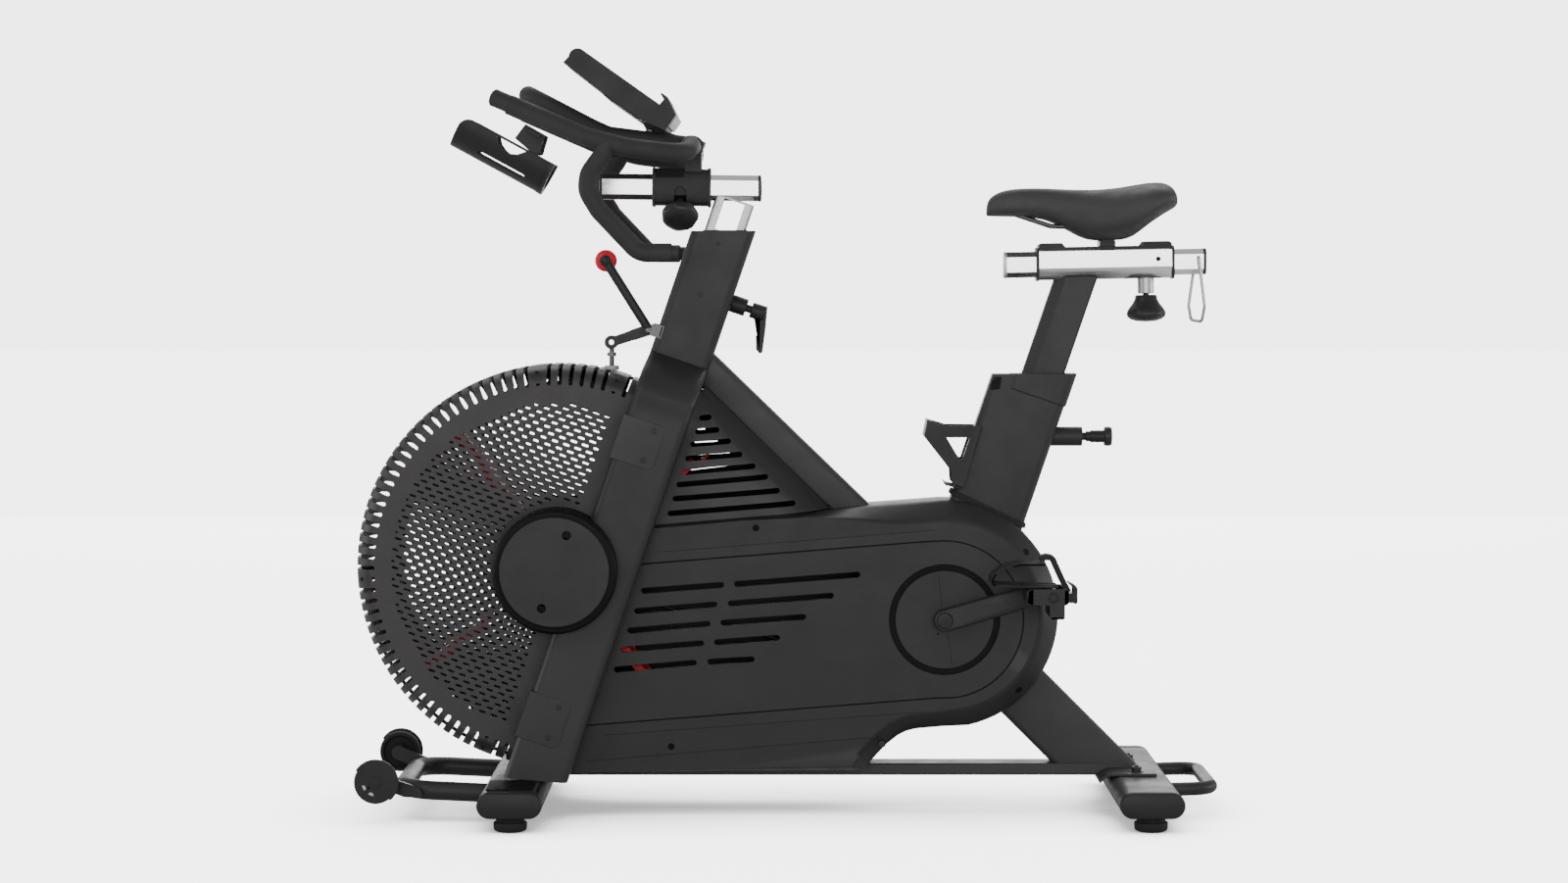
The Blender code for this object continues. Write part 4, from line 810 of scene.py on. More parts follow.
def panel_line(inset):
    """Outline of the raised panel: parallel sides, an arc round the crank, the leg in front."""
    radius = PANEL_RADIUS - inset
    top = [(-0.2260 + inset, 0.3880 - inset), (0.2080, 0.4224 - inset)]
    rear = arc((0.2427, 0.3030), radius, 92, -82, 36)
    low = [(0.2270, 0.1822 + inset), (-0.3090 + inset, 0.1400 + inset)]
    return top + rear + low


LEFT_SLOTS = [((-0.2205, 0.3477), (-0.1010, 0.3567)), ((-0.2315, 0.3163), (-0.1116, 0.3265)),
              ((-0.2418, 0.2862), (-0.1222, 0.2966)), ((-0.2520, 0.2568), (-0.1322, 0.2665)),
              ((-0.2627, 0.2259), (-0.1434, 0.2363))]
RIGHT_SLOTS = [((-0.0769, 0.3582), (0.1086, 0.3726)), ((-0.0867, 0.3280), (0.0679, 0.3401)),
               ((-0.0980, 0.2983), (0.0251, 0.3072)), ((-0.1079, 0.2682), (-0.0151, 0.2750)),
               ((-0.1182, 0.2379), (-0.0543, 0.2417))]
CASING_SCREWS = [(-0.0478, 0.4446), (-0.1785, 0.1065), (0.1467, 0.1103)]


JOINT_LINES = [((-0.1960, 0.4072), (0.2291, 0.4413)), ((-0.2800, 0.1243), (0.2100, 0.1600)),
               ((-0.3100, 0.0836), (0.1300, 0.1205))]


def casing_face():
    """Flat margin round the raised panel, with screw wells and thin joint lines."""
    outline = inwards(CASING_EDGE[-1][0])
    gap = panel_line(-0.0018)
    holes = [gap] + [circle(screw, 0.0052, 20) for screw in CASING_SCREWS]
    holes += [capsule(start, end, 0.00025, 2) for start, end in JOINT_LINES]
    bm = filled(outline, holes)
    return thicken(bm, -CASING_Y, -CASING_Y + 0.0030)


def casing_panel():
    """Raised panel with two rows of slots and the ring groove round the crank."""
    holes = [capsule(a, b, 0.0042) for a, b in LEFT_SLOTS + RIGHT_SLOTS]
    holes.append(circle(CRANK, 0.0852, 72))
    bm = filled(panel_line(0.0), holes)
    return thicken(bm, -CASING_Y - 0.0012, -CASING_Y + 0.0030)


def crank_disc():
    """Round cover inside the groove, with a fine joint line through the middle."""
    thin = 0.0002
    holes = [capsule((0.2390, 0.3250), (0.2335, 0.3720), thin, 2),
             capsule((0.2480, 0.2800), (0.2545, 0.2340), thin, 2),
             circle((0.2330, 0.2810), 0.0016, 12), circle(CRANK, 0.0125, 32)]
    bm = filled(circle(CRANK, 0.0753, 72), holes)
    return thicken(bm, -CASING_Y - 0.0012, -CASING_Y + 0.0030)


# Painted shade: a dark floor in the ring groove round the crank disc, standing in for the shadow in
# it.
def groove_shade():
    profile = [(0.0130, -0.0800), (0.0870, -0.0800), (0.0870, -0.0780), (0.0130, -0.0780)]
    return turned(profile, (CRANK[0], 0.0, CRANK[1]), (0, 1, 0), 72)


both_sides("casing_edge", casing_edge, "frame_paint", ["casing"], angle=24.0)
both_sides("casing_face", casing_face, "frame_paint", angle=30.0, bevel=0.0006)
both_sides("casing_panel", casing_panel, "frame_paint", angle=30.0, bevel=0.0010)
both_sides("crank_disc", crank_disc, "frame_paint", angle=30.0, bevel=0.0008)
# The crank groove's dark floor is painted shade.
both_sides("crank_ring_shade", groove_shade, "dark")

# Recessed vent panel between the fork leg, the diagonal and the casing's top edge.
VENT_ROWS = [((-0.1310, 0.6135), (-0.1204, 0.6143)), ((-0.1370, 0.5928), (-0.1084, 0.5952)),
             ((-0.1446, 0.5732), (-0.0904, 0.5777)), ((-0.1521, 0.5513), (-0.0730, 0.5573)),
             ((-0.1582, 0.5302), (-0.0527, 0.5392)), ((-0.1658, 0.5110), (-0.0331, 0.5226)),
             ((-0.1718, 0.4894), (-0.0151, 0.5015)), ((-0.1794, 0.4667), (0.0091, 0.4819))]
DIAGONAL_LOWER = ((-0.1280, 0.6586), (0.0640, 0.4704))


def bowed(bm, sheet, offset=0.0):
    """Bend a flat sheet in towards the diagonal tube, and give it a thickness."""
    run = Vector((DIAGONAL_LOWER[1][0] - DIAGONAL_LOWER[0][0],
                  DIAGONAL_LOWER[1][1] - DIAGONAL_LOWER[0][1])).normalized()
    away = Vector((run.y, -run.x))
    if away.x > 0:
        away = -away
    origin = Vector(DIAGONAL_LOWER[0])
    for reach in (0.0060, 0.0130, 0.0210, 0.0300, 0.0400, 0.0520):
        place = origin + away * reach
        bmesh.ops.bisect_plane(bm, geom=bm.verts[:] + bm.edges[:] + bm.faces[:], dist=CUT_DIST,
                               plane_co=(place.x, 0.0, place.y), plane_no=(away.x, 0.0, away.y))
    grown = bmesh.ops.extrude_face_region(bm, geom=bm.faces[:])
    back = {v for v in grown["geom"] if isinstance(v, bmesh.types.BMVert)}
    for vert in bm.verts:
        reach = (Vector((vert.co.x, vert.co.z)) - origin).dot(away)
        share = max(0.0, min(1.0, 1.0 - reach / 0.0520))
        vert.co.y = offset - 0.0800 + 0.0500 * share * share + (sheet if vert in back else 0.0)
    return bm


def vent_panel(drop=0.0):
    """Triangular panel with slots; drop lowers the slots."""
    outline = [along_mast(0.2650, 0.0030), along_mast(0.2450, 0.0500), (-0.1280, 0.6610),
               (0.0640, 0.4730), (0.0720, 0.4720), (-0.2030, 0.4492), along_mast(0.4808, 0.0030)]
    holes = [capsule((a[0], a[1] - drop), (b[0], b[1] - drop), 0.0043) for a, b in VENT_ROWS]
    return bowed(filled(outline, holes), 0.0030)


def vent_channel_shade():
    """Painted shade: a dark strip in the channel between the panel and the top of the casing,
    standing in for its shadow.
    """
    outline = [along_mast(0.4760, 0.0030), along_mast(0.4900, 0.0030), (-0.1000, 0.4500),
               (0.0660, 0.4660), (0.0660, 0.4770)]
    return bowed(filled(outline), 0.0030, 0.0040)


add("vent_panel_left", vent_panel(), "frame_paint", "frame", angle=25.0)
add("vent_panel_right", mirrored(vent_panel(0.0024)), "frame_paint", "frame", angle=25.0)
# The dark strip under each vent panel is painted shade.
both_sides("vent_channel_shade", vent_channel_shade, "dark", angle=25.0)

# Narrow strips left open in the dark sheet of painted shade behind the right vent panel.
SHADE_SHEET_WINDOWS = [((-0.1399, 0.5894), (-0.1300, 0.5900), 0.0010),
                 ((-0.1447, 0.5688), (-0.1105, 0.5708), 0.0008),
                 ((-0.1400, 0.5494), (-0.0910, 0.5528), 0.0009),
                 ((-0.1595, 0.5241), (-0.0780, 0.5339), 0.0005)]


def vent_shade_sheet():
    """Painted shade: a dark sheet behind the right panel's slots, standing in for the shade inside;
    open only in narrow strips.
    """
    outline = [along_mast(0.2850, 0.0060), (-0.1330, 0.6380), (0.0500, 0.4770), (-0.2000, 0.4540),
               along_mast(0.4700, 0.0060)]
    return bowed(filled(outline, [capsule(a, b, radius, 3) for a, b, radius in SHADE_SHEET_WINDOWS]),
                 0.0015, 0.0045)


def joint_shade_floors():
    """Painted shade: dark floors under the joint round the raised panel, the joint lines and the
    screw wells, standing in for the shadow in them.
    """
    parts = [thicken(filled(panel_line(-0.0060), [panel_line(0.0040)]), -CASING_Y + 0.0034,
                     -CASING_Y + 0.0050)]
    for start, end in JOINT_LINES:
        parts.append(thicken(filled(capsule(start, end, 0.0020, 4)), -CASING_Y + 0.0054,
                             -CASING_Y + 0.0064))
    for screw in CASING_SCREWS:
        parts.append(thicken(filled(circle(screw, 0.0065, 20)), -CASING_Y + 0.0068,
                             -CASING_Y + 0.0078))
    return merge(*parts)


def casing_hole_shade():
    """Painted shade: dark discs in the sloping rear edge, standing in for the shadow in its screw
    holes.
    """
    parts = []
    for x, y, z, axis in ((0.3691, -0.0737, 0.4068, (0.585, -0.667, 0.461)),
                          (0.3586, -0.0702, 0.1925, (0.525, -0.667, -0.528))):
        parts.append(turned([(0.0, -0.0020), (0.0056, -0.0020), (0.0056, 0.0004), (0.0, 0.0004)],
                            (x, y, z), axis, 20))
    return merge(*parts)


# Painted shade behind the right vent panel.
add("vent_shade_sheet", mirrored(vent_shade_sheet()), "dark", "frame", angle=25.0)
# Dark floors under the casing's joints and wells are painted shade.
both_sides("panel_joint_shade", joint_shade_floors, "dark")
# Dark discs for the rear edge's screw holes: painted shade.
both_sides("casing_hole_shade", casing_hole_shade, "dark")
# ---------------------------------------------------------------- fork, tubes and posts
def carve(bm, *cutters):
    """Subtract closed bmeshes from a closed bmesh."""
    made = []
    for label, source in [("body", bm)] + [("cutter", cutter) for cutter in cutters]:
        bmesh.ops.recalc_face_normals(source, faces=source.faces)
        mesh = bpy.data.meshes.new(label)
        source.to_mesh(mesh)
        source.free()
        obj = bpy.data.objects.new(label, mesh)
        bpy.context.scene.collection.objects.link(obj)
        made.append(obj)
    for cutter in made[1:]:
        modifier = made[0].modifiers.new("cut", "BOOLEAN")
        modifier.operation = "DIFFERENCE"
        modifier.object = cutter
        modifier.solver = "EXACT"
    bpy.context.view_layer.update()
    graph = bpy.context.evaluated_depsgraph_get()
    result = bpy.data.meshes.new_from_object(made[0].evaluated_get(graph))
    carved = bmesh.new()
    carved.from_mesh(result)
    bpy.data.meshes.remove(result)
    for obj in made:
        mesh = obj.data
        bpy.data.objects.remove(obj, do_unlink=True)
        bpy.data.meshes.remove(mesh)
    return carved


def fork_section(front, back, outer, inner, radius):
    """One side of the fork as (back, y) points, with rounded outer corners."""
    corner = min(radius, (outer - inner) / 2)
    points = arc((back - corner, -outer + corner), corner, 0, -90, 5)
    points += arc((front + corner, -outer + corner), corner, -90, -180, 5)
    points += [(front, -inner), (back, -inner)]
    return points


def fork_side():
    """Shoulder that spreads from the mast, and the leg below it, down to the stabilizer."""
    shoulder = [(0.2108, 0.0350), (0.2110, 0.0385), (0.2122, 0.0440), (0.2150, 0.0520),
                (0.2195, 0.0640), (0.2260, 0.0800), (0.2340, 0.0960), (0.2440, 0.1100),
                (0.2560, 0.1215), (0.2700, 0.1300), (0.2702, 0.1300), (0.2850, 0.1352),
                (0.3000, 0.1382), (0.3150, 0.1400), (0.5000, 0.1400), (0.9300, 0.1400)]
    rings = []
    for index, (down, outer) in enumerate(shoulder):
        inner = 0.0002 if index < 10 else 0.0990
        grow = min(1.0, (down - 0.2108) / 0.0300)
        front, back = -0.0462 - 0.0022 * grow, 0.0462 + 0.0005 * grow
        section = fork_section(front, back, outer, inner, 0.0060 + 0.0060 * grow)
        rings.append([(along_mast(down, a)[0], y, along_mast(down, a)[1]) for a, y in section])
    bm = loft(rings)
    return keep_behind(bm, (-0.4335, 0.0, 0.0660), (-0.0950, 0.0, -1.0))


def patch(start, end):
    """Bolted guard bracket on the leg, wrapped round its front edge."""
    outline = [along_mast(start, -0.0512), along_mast(start, 0.0080)]
    corner_path = [(start + 0.0006, 0.0105), (start + 0.0028, 0.0135), (start + 0.0062, 0.0155),
                   (start + 0.0100, 0.0163), (end - 0.0100, 0.0163), (end - 0.0050, 0.0150),
                   (end - 0.0015, 0.0115), (end, 0.0060)]
    outline += [along_mast(down, back) for down, back in corner_path]
    outline.append(along_mast(end, -0.0512))
    return slab(outline, -LEG_SURFACE_Y - 0.0011, -LEG_SURFACE_Y + 0.0300)


def flat_screw(place, radius=0.0042, y=-LEG_SURFACE_Y - 0.0010):
    """Low round screw head with a round socket."""
    profile = [(radius, y + 0.0030), (radius, y - 0.0006), (radius - 0.0006, y - 0.0011),
               (radius * 0.5, y - 0.0011), (radius * 0.45, y + 0.0004), (0.0, y + 0.0004)]
    return turned(profile, (place[0], 0.0, place[1]), (0, 1, 0), 24)


def ear():
    """Round boss that carries the axle inside the leg."""
    profile = [(0.0120, -0.1390), (0.0700, -0.1390), (0.0720, -0.1370), (0.0720, -0.1010),
               (0.0120, -0.1010)]
    return turned(profile, (FAN[0], 0.0, FAN[1]), (0, 1, 0), 72)


def screws():
    places = [along_mast(0.3225, -0.0003), along_mast(0.3701, -0.0015), along_mast(0.7691, -0.0023),
              along_mast(0.8185, -0.0030)]
    return merge(*[flat_screw(place) for place in places])


both_sides("fork", fork_side, "frame_paint", ["fork_leg"], angle=32.0)
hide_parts("fork_crown")
both_sides("axle_boss", ear, "frame_paint")
both_sides("bracket_upper", lambda: patch(0.3115, 0.3820), "frame_paint", bevel=0.0010)
both_sides("bracket_lower", lambda: patch(0.7589, 0.8320), "frame_paint", bevel=0.0010)
both_sides("bracket_screws", screws, "lever_black")


def mast():
    """Deep mast with round corners, open on top for the handlebar's post."""
    tube = bar(along_mast(-0.0250, 0.0), along_mast(0.3000, 0.0), 0.0948, 0.0700, 0.0130, 6)
    tube = keep_behind(tube, (0.0, 0.0, MAST_TOP[1]), (0.0, 0.0, 1.0))
    bore = bar(along_mast(-0.0600, 0.0020), along_mast(0.2000, 0.0020), 0.0660, 0.0430, 0.0050, 3)
    slot = slab([along_mast(0.1800, -0.0600), along_mast(0.2080, -0.0600),
                 along_mast(0.2080, -0.0400), along_mast(0.1800, -0.0400)], -0.0060, 0.0060)
    return carve(tube, bore, slot)


def mast_bush():
    """Plastic guide in the mast's mouth."""
    plug = bar(along_mast(-0.0250, 0.0020), along_mast(0.0400, 0.0020), 0.0655, 0.0425, 0.0050, 3)
    plug = keep_behind(plug, (0.0, 0.0, MAST_TOP[1] + 0.0012), (0.0, 0.0, 1.0))
    hole = bar(along_mast(-0.0800, 0.0020), along_mast(0.0800, 0.0020), 0.0618, 0.0388, 0.0042, 3)
    return carve(plug, hole)


add("mast", mast(), "frame_paint", "frame", ["mast_tube"], angle=30.0, bevel=0.0008)
add("mast_bush", mast_bush(), "black_plastic", "frame")


def mast_marks():
    """Small pip near the mouth and a plugged screw below it."""
    pip = turned([(0.0030, -0.0340), (0.0030, -0.0352), (0.0022, -0.0356), (0.0, -0.0356)],
                 (*[along_mast(0.0213, -0.0008)[0], 0.0, along_mast(0.0213, -0.0008)[1]],),
                 (0, 1, 0), 16)
    plug = turned([(0.0042, -0.0340), (0.0042, -0.0353), (0.0036, -0.0355), (0.0, -0.0355)],
                  (along_mast(0.1046, -0.0014)[0], 0.0, along_mast(0.1046, -0.0014)[1]), (0, 1, 0),
                  20)
    return merge(pip, plug)


both_sides("mast_marks", mast_marks, "black_plastic")

DIAGONAL_START = (-0.1310, 0.6920)
DIAGONAL_SLOPE = math.radians(-44.1)


def along_diagonal(reach, rise=0.0):
    run = (math.cos(DIAGONAL_SLOPE), math.sin(DIAGONAL_SLOPE))
    return (DIAGONAL_START[0] + reach * run[0] - rise * run[1],
            DIAGONAL_START[1] + reach * run[1] + rise * run[0])


add("diagonal", bar(along_diagonal(-0.0100), along_diagonal(0.3600), 0.0520, 0.0500, 0.0100, 5),
    "frame_paint", "frame",
    ["diagonal_tube"], angle=30.0)


def rear_leg():
    """Deep leg from the casing down to its foot plate."""
    leg = bar((0.2900, 0.2610), (0.6100, -0.0590), 0.0920, 0.0500, 0.0100, 5)
    leg = keep_behind(leg, (0.0, 0.0, 0.0615), (0.0, 0.0, -1.0))
    return leg


def foot_plate():
    """Plate under the rear leg, with a curved gusset in front."""
    plate = slab([(0.5000, 0.0610), (0.5705, 0.0610), (0.5705, 0.0652), (0.5000, 0.0652)], -0.0920,
                 0.0920)
    gusset = [(0.4950, 0.0600), (0.5000, 0.0600)] + [(0.5000, 0.0650)] + [(0.4950, 0.0642),
            (0.4905, 0.0622)]
    gusset += [(0.4850, 0.0575), (0.4818, 0.0510), (0.4838, 0.0500), (0.4875, 0.0550),
               (0.4915, 0.0586)]
    lip = slab(gusset, -0.0920, 0.0920)
    return merge(plate, lip)


def hex_bolt(x, y, z, radius=0.0065, height=0.0050):
    """Hexagon bolt head with a washer, standing up."""
    washer = turned([(0.0, 0.0), (radius * 1.35, 0.0), (radius * 1.35, 0.0014), (0.0, 0.0014)],
                    (x, y, z), (0, 0, 1), 24)
    head = turned([(0.0, 0.0014), (radius, 0.0014), (radius, height),
                   (radius * 0.85, height + 0.0006),
                   (0.0, height + 0.0006)], (x, y, z), (0, 0, 1), 6)
    stub = turned([(0.0, height), (radius * 0.5, height), (radius * 0.45, height + 0.0032),
                   (0.0, height + 0.0034)],
                  (x, y, z), (0, 0, 1), 16)
    return merge(washer, head, stub)


add("rear_leg_tube", rear_leg(), "frame_paint", "frame", ["rear_leg"], angle=30.0)
add("rear_foot_plate", foot_plate(), "frame_paint", "frame", bevel=0.0008)
add("rear_bolts", merge(*[hex_bolt(0.5410, y, 0.0652, 0.0078, 0.0075) for y in (-0.0680, 0.0680)]),
    "lever_black", "frame")


def seat_tube():
    """Deep sleeve for the seat post, reaching down into the casing."""
    sleeve = bar(along_seat(-0.0300, 0.0), along_seat(0.2600, 0.0), 0.1220, 0.0560, 0.0130, 6)
    sleeve = keep_behind(sleeve, (0.0, 0.0, SEAT_TOP[1]), (0.0, 0.0, 1.0))
    bore = bar(along_seat(-0.0600, 0.0135), along_seat(0.1950, 0.0135), 0.0660, 0.0436, 0.0060, 3)
    return carve(sleeve, bore)


def seat_bush():
    plug = bar(along_seat(-0.0300, 0.0135), along_seat(0.0400, 0.0135), 0.0655, 0.0431, 0.0060, 3)
    plug = keep_behind(plug, (0.0, 0.0, SEAT_TOP[1] + 0.0012), (0.0, 0.0, 1.0))
    hole = bar(along_seat(-0.0800, 0.0135), along_seat(0.0800, 0.0135), 0.0632, 0.0407, 0.0060, 3)
    return carve(plug, hole)


def seat_collar():
    """Thicker rim round the back of the sleeve's mouth."""
    ring = bar(along_seat(-0.0300, 0.0140), along_seat(0.0330, 0.0140), 0.0985, 0.0600, 0.0140, 6)
    ring = keep_behind(ring, (0.0, 0.0, SEAT_TOP[1] + 0.0006), (0.0, 0.0, 1.0))
    hole = bar(along_seat(-0.0600, 0.0135), along_seat(0.0600, 0.0135), 0.0660, 0.0436, 0.0060, 3)
    return carve(ring, hole)


def seat_gasket():
    """Ring where the seat tube enters the casing."""
    low = along_seat(0.2190, 0.0)
    rings = []
    for reach, grow in ((-0.0025, 0.0), (-0.0020, 0.0030), (0.0020, 0.0040), (0.0060, 0.0040)):
        section = rounded_section(0.1225 + 2 * grow, 0.0565 + 2 * grow, 0.0130 + grow, 6)
        row = []
        for a, b in section:
            x = low[0] + a * math.cos(math.radians(25.2)) - reach * UP[0]
            z = low[1] - a * math.sin(math.radians(25.2)) - reach * UP[1]
            row.append((x, b, z))
        rings.append(row)
    return loft(rings)


def pin_boss():
    """Threaded boss for the pull pin, behind the sleeve."""
    profile = [(0.0066, 0.0010), (0.0150, 0.0010), (0.0150, 0.0495), (0.0142, 0.0503),
               (0.0066, 0.0503)]
    return turned(profile, (0.4100, 0.0, 0.5818), (1, 0, 0), 40)


add("seat_sleeve", seat_tube(), "frame_paint", "frame", ["seat_tube"], angle=30.0, bevel=0.0008)
add("seat_bush", seat_bush(), "black_plastic", "frame")
add("seat_collar", seat_collar(), "frame_paint", "frame", angle=30.0, bevel=0.0008)
add("seat_gasket", seat_gasket(), "rubber", "frame")


def sleeve_corner_shade():
    """Painted shade: a dark patch in the upper front corner of the sleeve's side, standing in for
    the shadow in a shallow well.
    """
    outline = [(0.3150, 0.6560), (0.3175, 0.6680), (0.3235, 0.6750), (0.3335, 0.6750),
               (0.3300, 0.6560)]
    return slab(outline, -0.0288, -0.0276)


# Painted shade in the sleeve's corner.
both_sides("sleeve_corner_shade", sleeve_corner_shade, "dark", bevel=0.0005)
add("pin_boss", pin_boss(), "frame_paint", "frame", bevel=0.0004)


def seat_post():
    """Upright with wide chamfers on its front corners."""
    section = [(-0.0312, -0.0085), (-0.0150, -0.0200), (0.0285, -0.0200), (0.0312, -0.0172),
               (0.0312, 0.0172), (0.0285, 0.0200), (-0.0150, 0.0200), (-0.0312, 0.0085)]
    rings = []
    for down in (-0.2200, 0.1500):
        ring = []
        for back, y in section:
            x, z = along_seat(down, back + 0.0135)
            ring.append((x, y, z))
        rings.append(ring)
    return keep_behind(loft(rings), (0.4940, 0.0, 0.8515 - 0.0200), (-0.0192, 0.0, 1.0))


add("seat_post_tube", seat_post(), "frame_paint", "seat_post", ["seat_post"], angle=20.0,
    bevel=0.0010)

# ---------------------------------------------------------------- base
def oval(x, depth, height, grow=0.0, steps=14):
    """Flat oval outline of a stabilizer."""
    radius = height / 2 + grow
    half = depth / 2 - height / 2
    return arc((x - half, 0.0415), radius, 270, 90, steps) + arc((x + half, 0.0415), radius, 90,
            -90, steps)


def end_cap(x):
    """Plastic cap over the tube's end, with a fine shadow gap beside the tube."""
    rings = []
    for grow, y in ((-0.0040, -0.2440), (-0.0004, -0.2440), (0.0003, -0.2450), (0.0003, -0.2672),
                    (-0.0010, -0.2690),
                    (-0.0032, -0.2698)):
        rings.append([(px, y, pz) for px, pz in oval(x, 0.0974, 0.0385, grow)])
    return loft(rings)


for label, x in (("front", -0.4155), ("rear", 0.5465)):
    tube_rings = [[(px, y, pz) for px, pz in oval(x, 0.0974, 0.0385)] for y in (-0.2436, 0.2436)]
    add(f"{label}_tube", loft(tube_rings), "frame_paint", "frame", [f"{label}_stabilizer"])
    both_sides(f"{label}_cap", lambda x=x: end_cap(x), "black_plastic", angle=50.0)

FOOT_PROFILE = [(0.0, 0.0), (0.0200, 0.0), (0.0238, 0.0018), (0.0252, 0.0050), (0.0255, 0.0125),
                (0.0250, 0.0140), (0.0222, 0.0150), (0.0215, 0.0180), (0.0215, 0.0217),
                (0.0, 0.0217)]
for label, x in (("front", -0.4155), ("rear", 0.5465)):
    for side, ending in ((-1, "left"), (1, "right")):
        add(f"{label}_pad_{ending}", turned(FOOT_PROFILE, (x, side * 0.2400, 0.0), (0, 0, 1), 40),
            "rubber", "frame",
            [f"foot_{label}_{ending}"])


def wheel_cover(side):
    """Fender-like cap over the wheel, with two cut notches and a hub mark."""
    centre = (-0.6240, 0.0650)
    outline = []
    for start, end, radius in ((-50, 148, 0.0354), (149, 309, 0.0326)):
        outline += arc(centre, radius, start, end, 24)
    bm = filled(outline, [circle((-0.6345, 0.0570), 0.0016, 10)])
    return thicken(bm, side * 0.1865, side * 0.1835)


def wheel_marks(side):
    """Two pale inlays low on the cover."""
    centre = (-0.6240, 0.0650)
    parts = []
    for start, end in ((192, 216), (238, 262)):
        outline = arc(centre, 0.0205, start, end, 6) + arc(centre, 0.0165, end - 4, start + 4, 6)
        low, high = sorted((side * 0.1866, side * 0.1860))
        parts.append(slab(outline, low, high))
    return merge(*parts)


def wheel(side):
    """Soft transport wheel with a grooved tread and dished hub."""
    profile = [(0.0046, -0.0098), (0.0120, -0.0098), (0.0140, -0.0070), (0.0240, -0.0070),
               (0.0262, -0.0100), (0.0300, -0.0100), (0.0320, -0.0078), (0.0325, -0.0030),
               (0.0318, 0.0), (0.0325, 0.0030), (0.0320, 0.0078), (0.0300, 0.0100),
               (0.0262, 0.0100), (0.0240, 0.0070), (0.0140, 0.0070), (0.0120, 0.0098),
               (0.0046, 0.0098)]
    return turned(profile, (-0.6240, side * 0.1700, 0.0650), (0, 1, 0), 64)


def transport_loop():
    """U-shaped tube from the front stabilizer."""
    points = [(-0.4500, -0.1340, 0.0415), (-0.5900, -0.1340, 0.0480), (-0.5900, 0.1340, 0.0480),
              (-0.4500, 0.1340, 0.0415)]
    return bent_tube(points, 0.0145, 0.0500, 28, 12)


def wheel_bracket(side):
    """Plate, axle and hub washer that hold one wheel."""
    centre = (-0.6240, 0.0650)
    outline = arc(centre, 0.0110, 70, 240, 16)
    outline += [(-0.5850, 0.0380), (-0.5600, 0.0365), (-0.5560, 0.0420), (-0.5600, 0.0520),
                (-0.5900, 0.0620)]
    low, high = sorted((side * 0.1450, side * 0.1520))
    plate = slab(outline, low, high)
    axle = rod((centre[0], side * 0.1500, centre[1]), (centre[0], side * 0.1890, centre[1]),
               0.0043, 16)
    boss = rod((centre[0], side * 0.1830, centre[1]), (centre[0], side * 0.1880, centre[1]),
               0.0095, 32)
    return merge(plate, axle, boss)


def stabilizer_shade():
    """Painted shadow: a dark slab on the stabilizer's top, outside the leg, standing in for the
    shade there.
    """
    return slab([(-0.4530, 0.0606), (-0.3890, 0.0606), (-0.3770, 0.0560), (-0.3700, 0.0480),
                 (-0.3680, 0.0488), (-0.3750, 0.0578), (-0.3880, 0.0624),
                 (-0.4530, 0.0624)], -0.2400, -0.1402)


# Dark slab on each stabilizer's top: painted shadow.
both_sides("stabilizer_painted_shadow", stabilizer_shade, "dark", bevel=0.0004)
add("transport_loop", transport_loop(), "frame_paint", "frame", ["transport_bar"])
for side, ending in ((-1, "left"), (1, "right")):
    add(f"wheel_bracket_{ending}", wheel_bracket(side), "wheel_plastic", "frame", bevel=0.0006)
    add(f"wheel_cover_{ending}", wheel_cover(side), "wheel_plastic", "frame", bevel=0.0008)
    add(f"wheel_marks_{ending}", wheel_marks(side), "label", "frame")
    add(f"wheel_{ending}", wheel(side), "rubber", f"{ending}_wheel", [f"transport_wheel_{ending}"])

REAR_HANDLE = [(0.5900, -0.1120, 0.0440), (0.6542, -0.1120, 0.0460), (0.6542, 0.1120, 0.0460),
               (0.5900, 0.1120, 0.0440)]
add("rear_loop", bent_tube(REAR_HANDLE, 0.0105, 0.0320, 24, 10), "frame_paint", "frame",
    ["rear_handle"])
# ---------------------------------------------------------------- handlebar
RAIL_Z = 0.9690
RAIL_X = (-0.2883, -0.0424)
RAIL_SLOPE = math.tan(math.radians(-0.7))
RAIL_MIDDLE = (RAIL_X[0] + RAIL_X[1]) / 2
CROSSBAR = (-0.1464, 1.0305)
KNOB_AXIS = (0.0, -0.7071, -0.7071)
KNOB_X = -0.1650


def on_rail(x, rise=0.0):
    return (x, RAIL_Z + (x - RAIL_MIDDLE) * RAIL_SLOPE + rise)


def post():
    """Bare steel post with a window, under its level rail."""
    upright = bar(along_mast(-0.0520, 0.0020), along_mast(0.1500, 0.0020), 0.0610, 0.0380, 0.0040,
                  3)
    window = slab([along_mast(-0.0490, -0.0145), along_mast(-0.0010, -0.0145),
                   along_mast(0.0010, -0.0125), along_mast(0.0010, 0.0165),
                   along_mast(-0.0010, 0.0185), along_mast(-0.0490, 0.0185)],
                  -0.1, 0.1)
    return carve(upright, window)


def end_plug(x, way, centre_z, depth, width, chamfer, bulge=0.0030):
    """Slightly domed cap on the end of a square tube."""
    rings = []
    for reach, inset in ((-0.0020, 0.0060), (-0.0020, -0.0004), (0.0012, -0.0004), (0.0026, 0.0014),
                         (bulge, 0.0070), (bulge + 0.0006, 0.0150)):
        section = rounded_section(depth - 2 * inset, width - 2 * inset,
                                  max(chamfer - inset, 0.0015), 3)
        rings.append([(x + way * reach, b, centre_z + a) for a, b in section])
    return loft(rings)


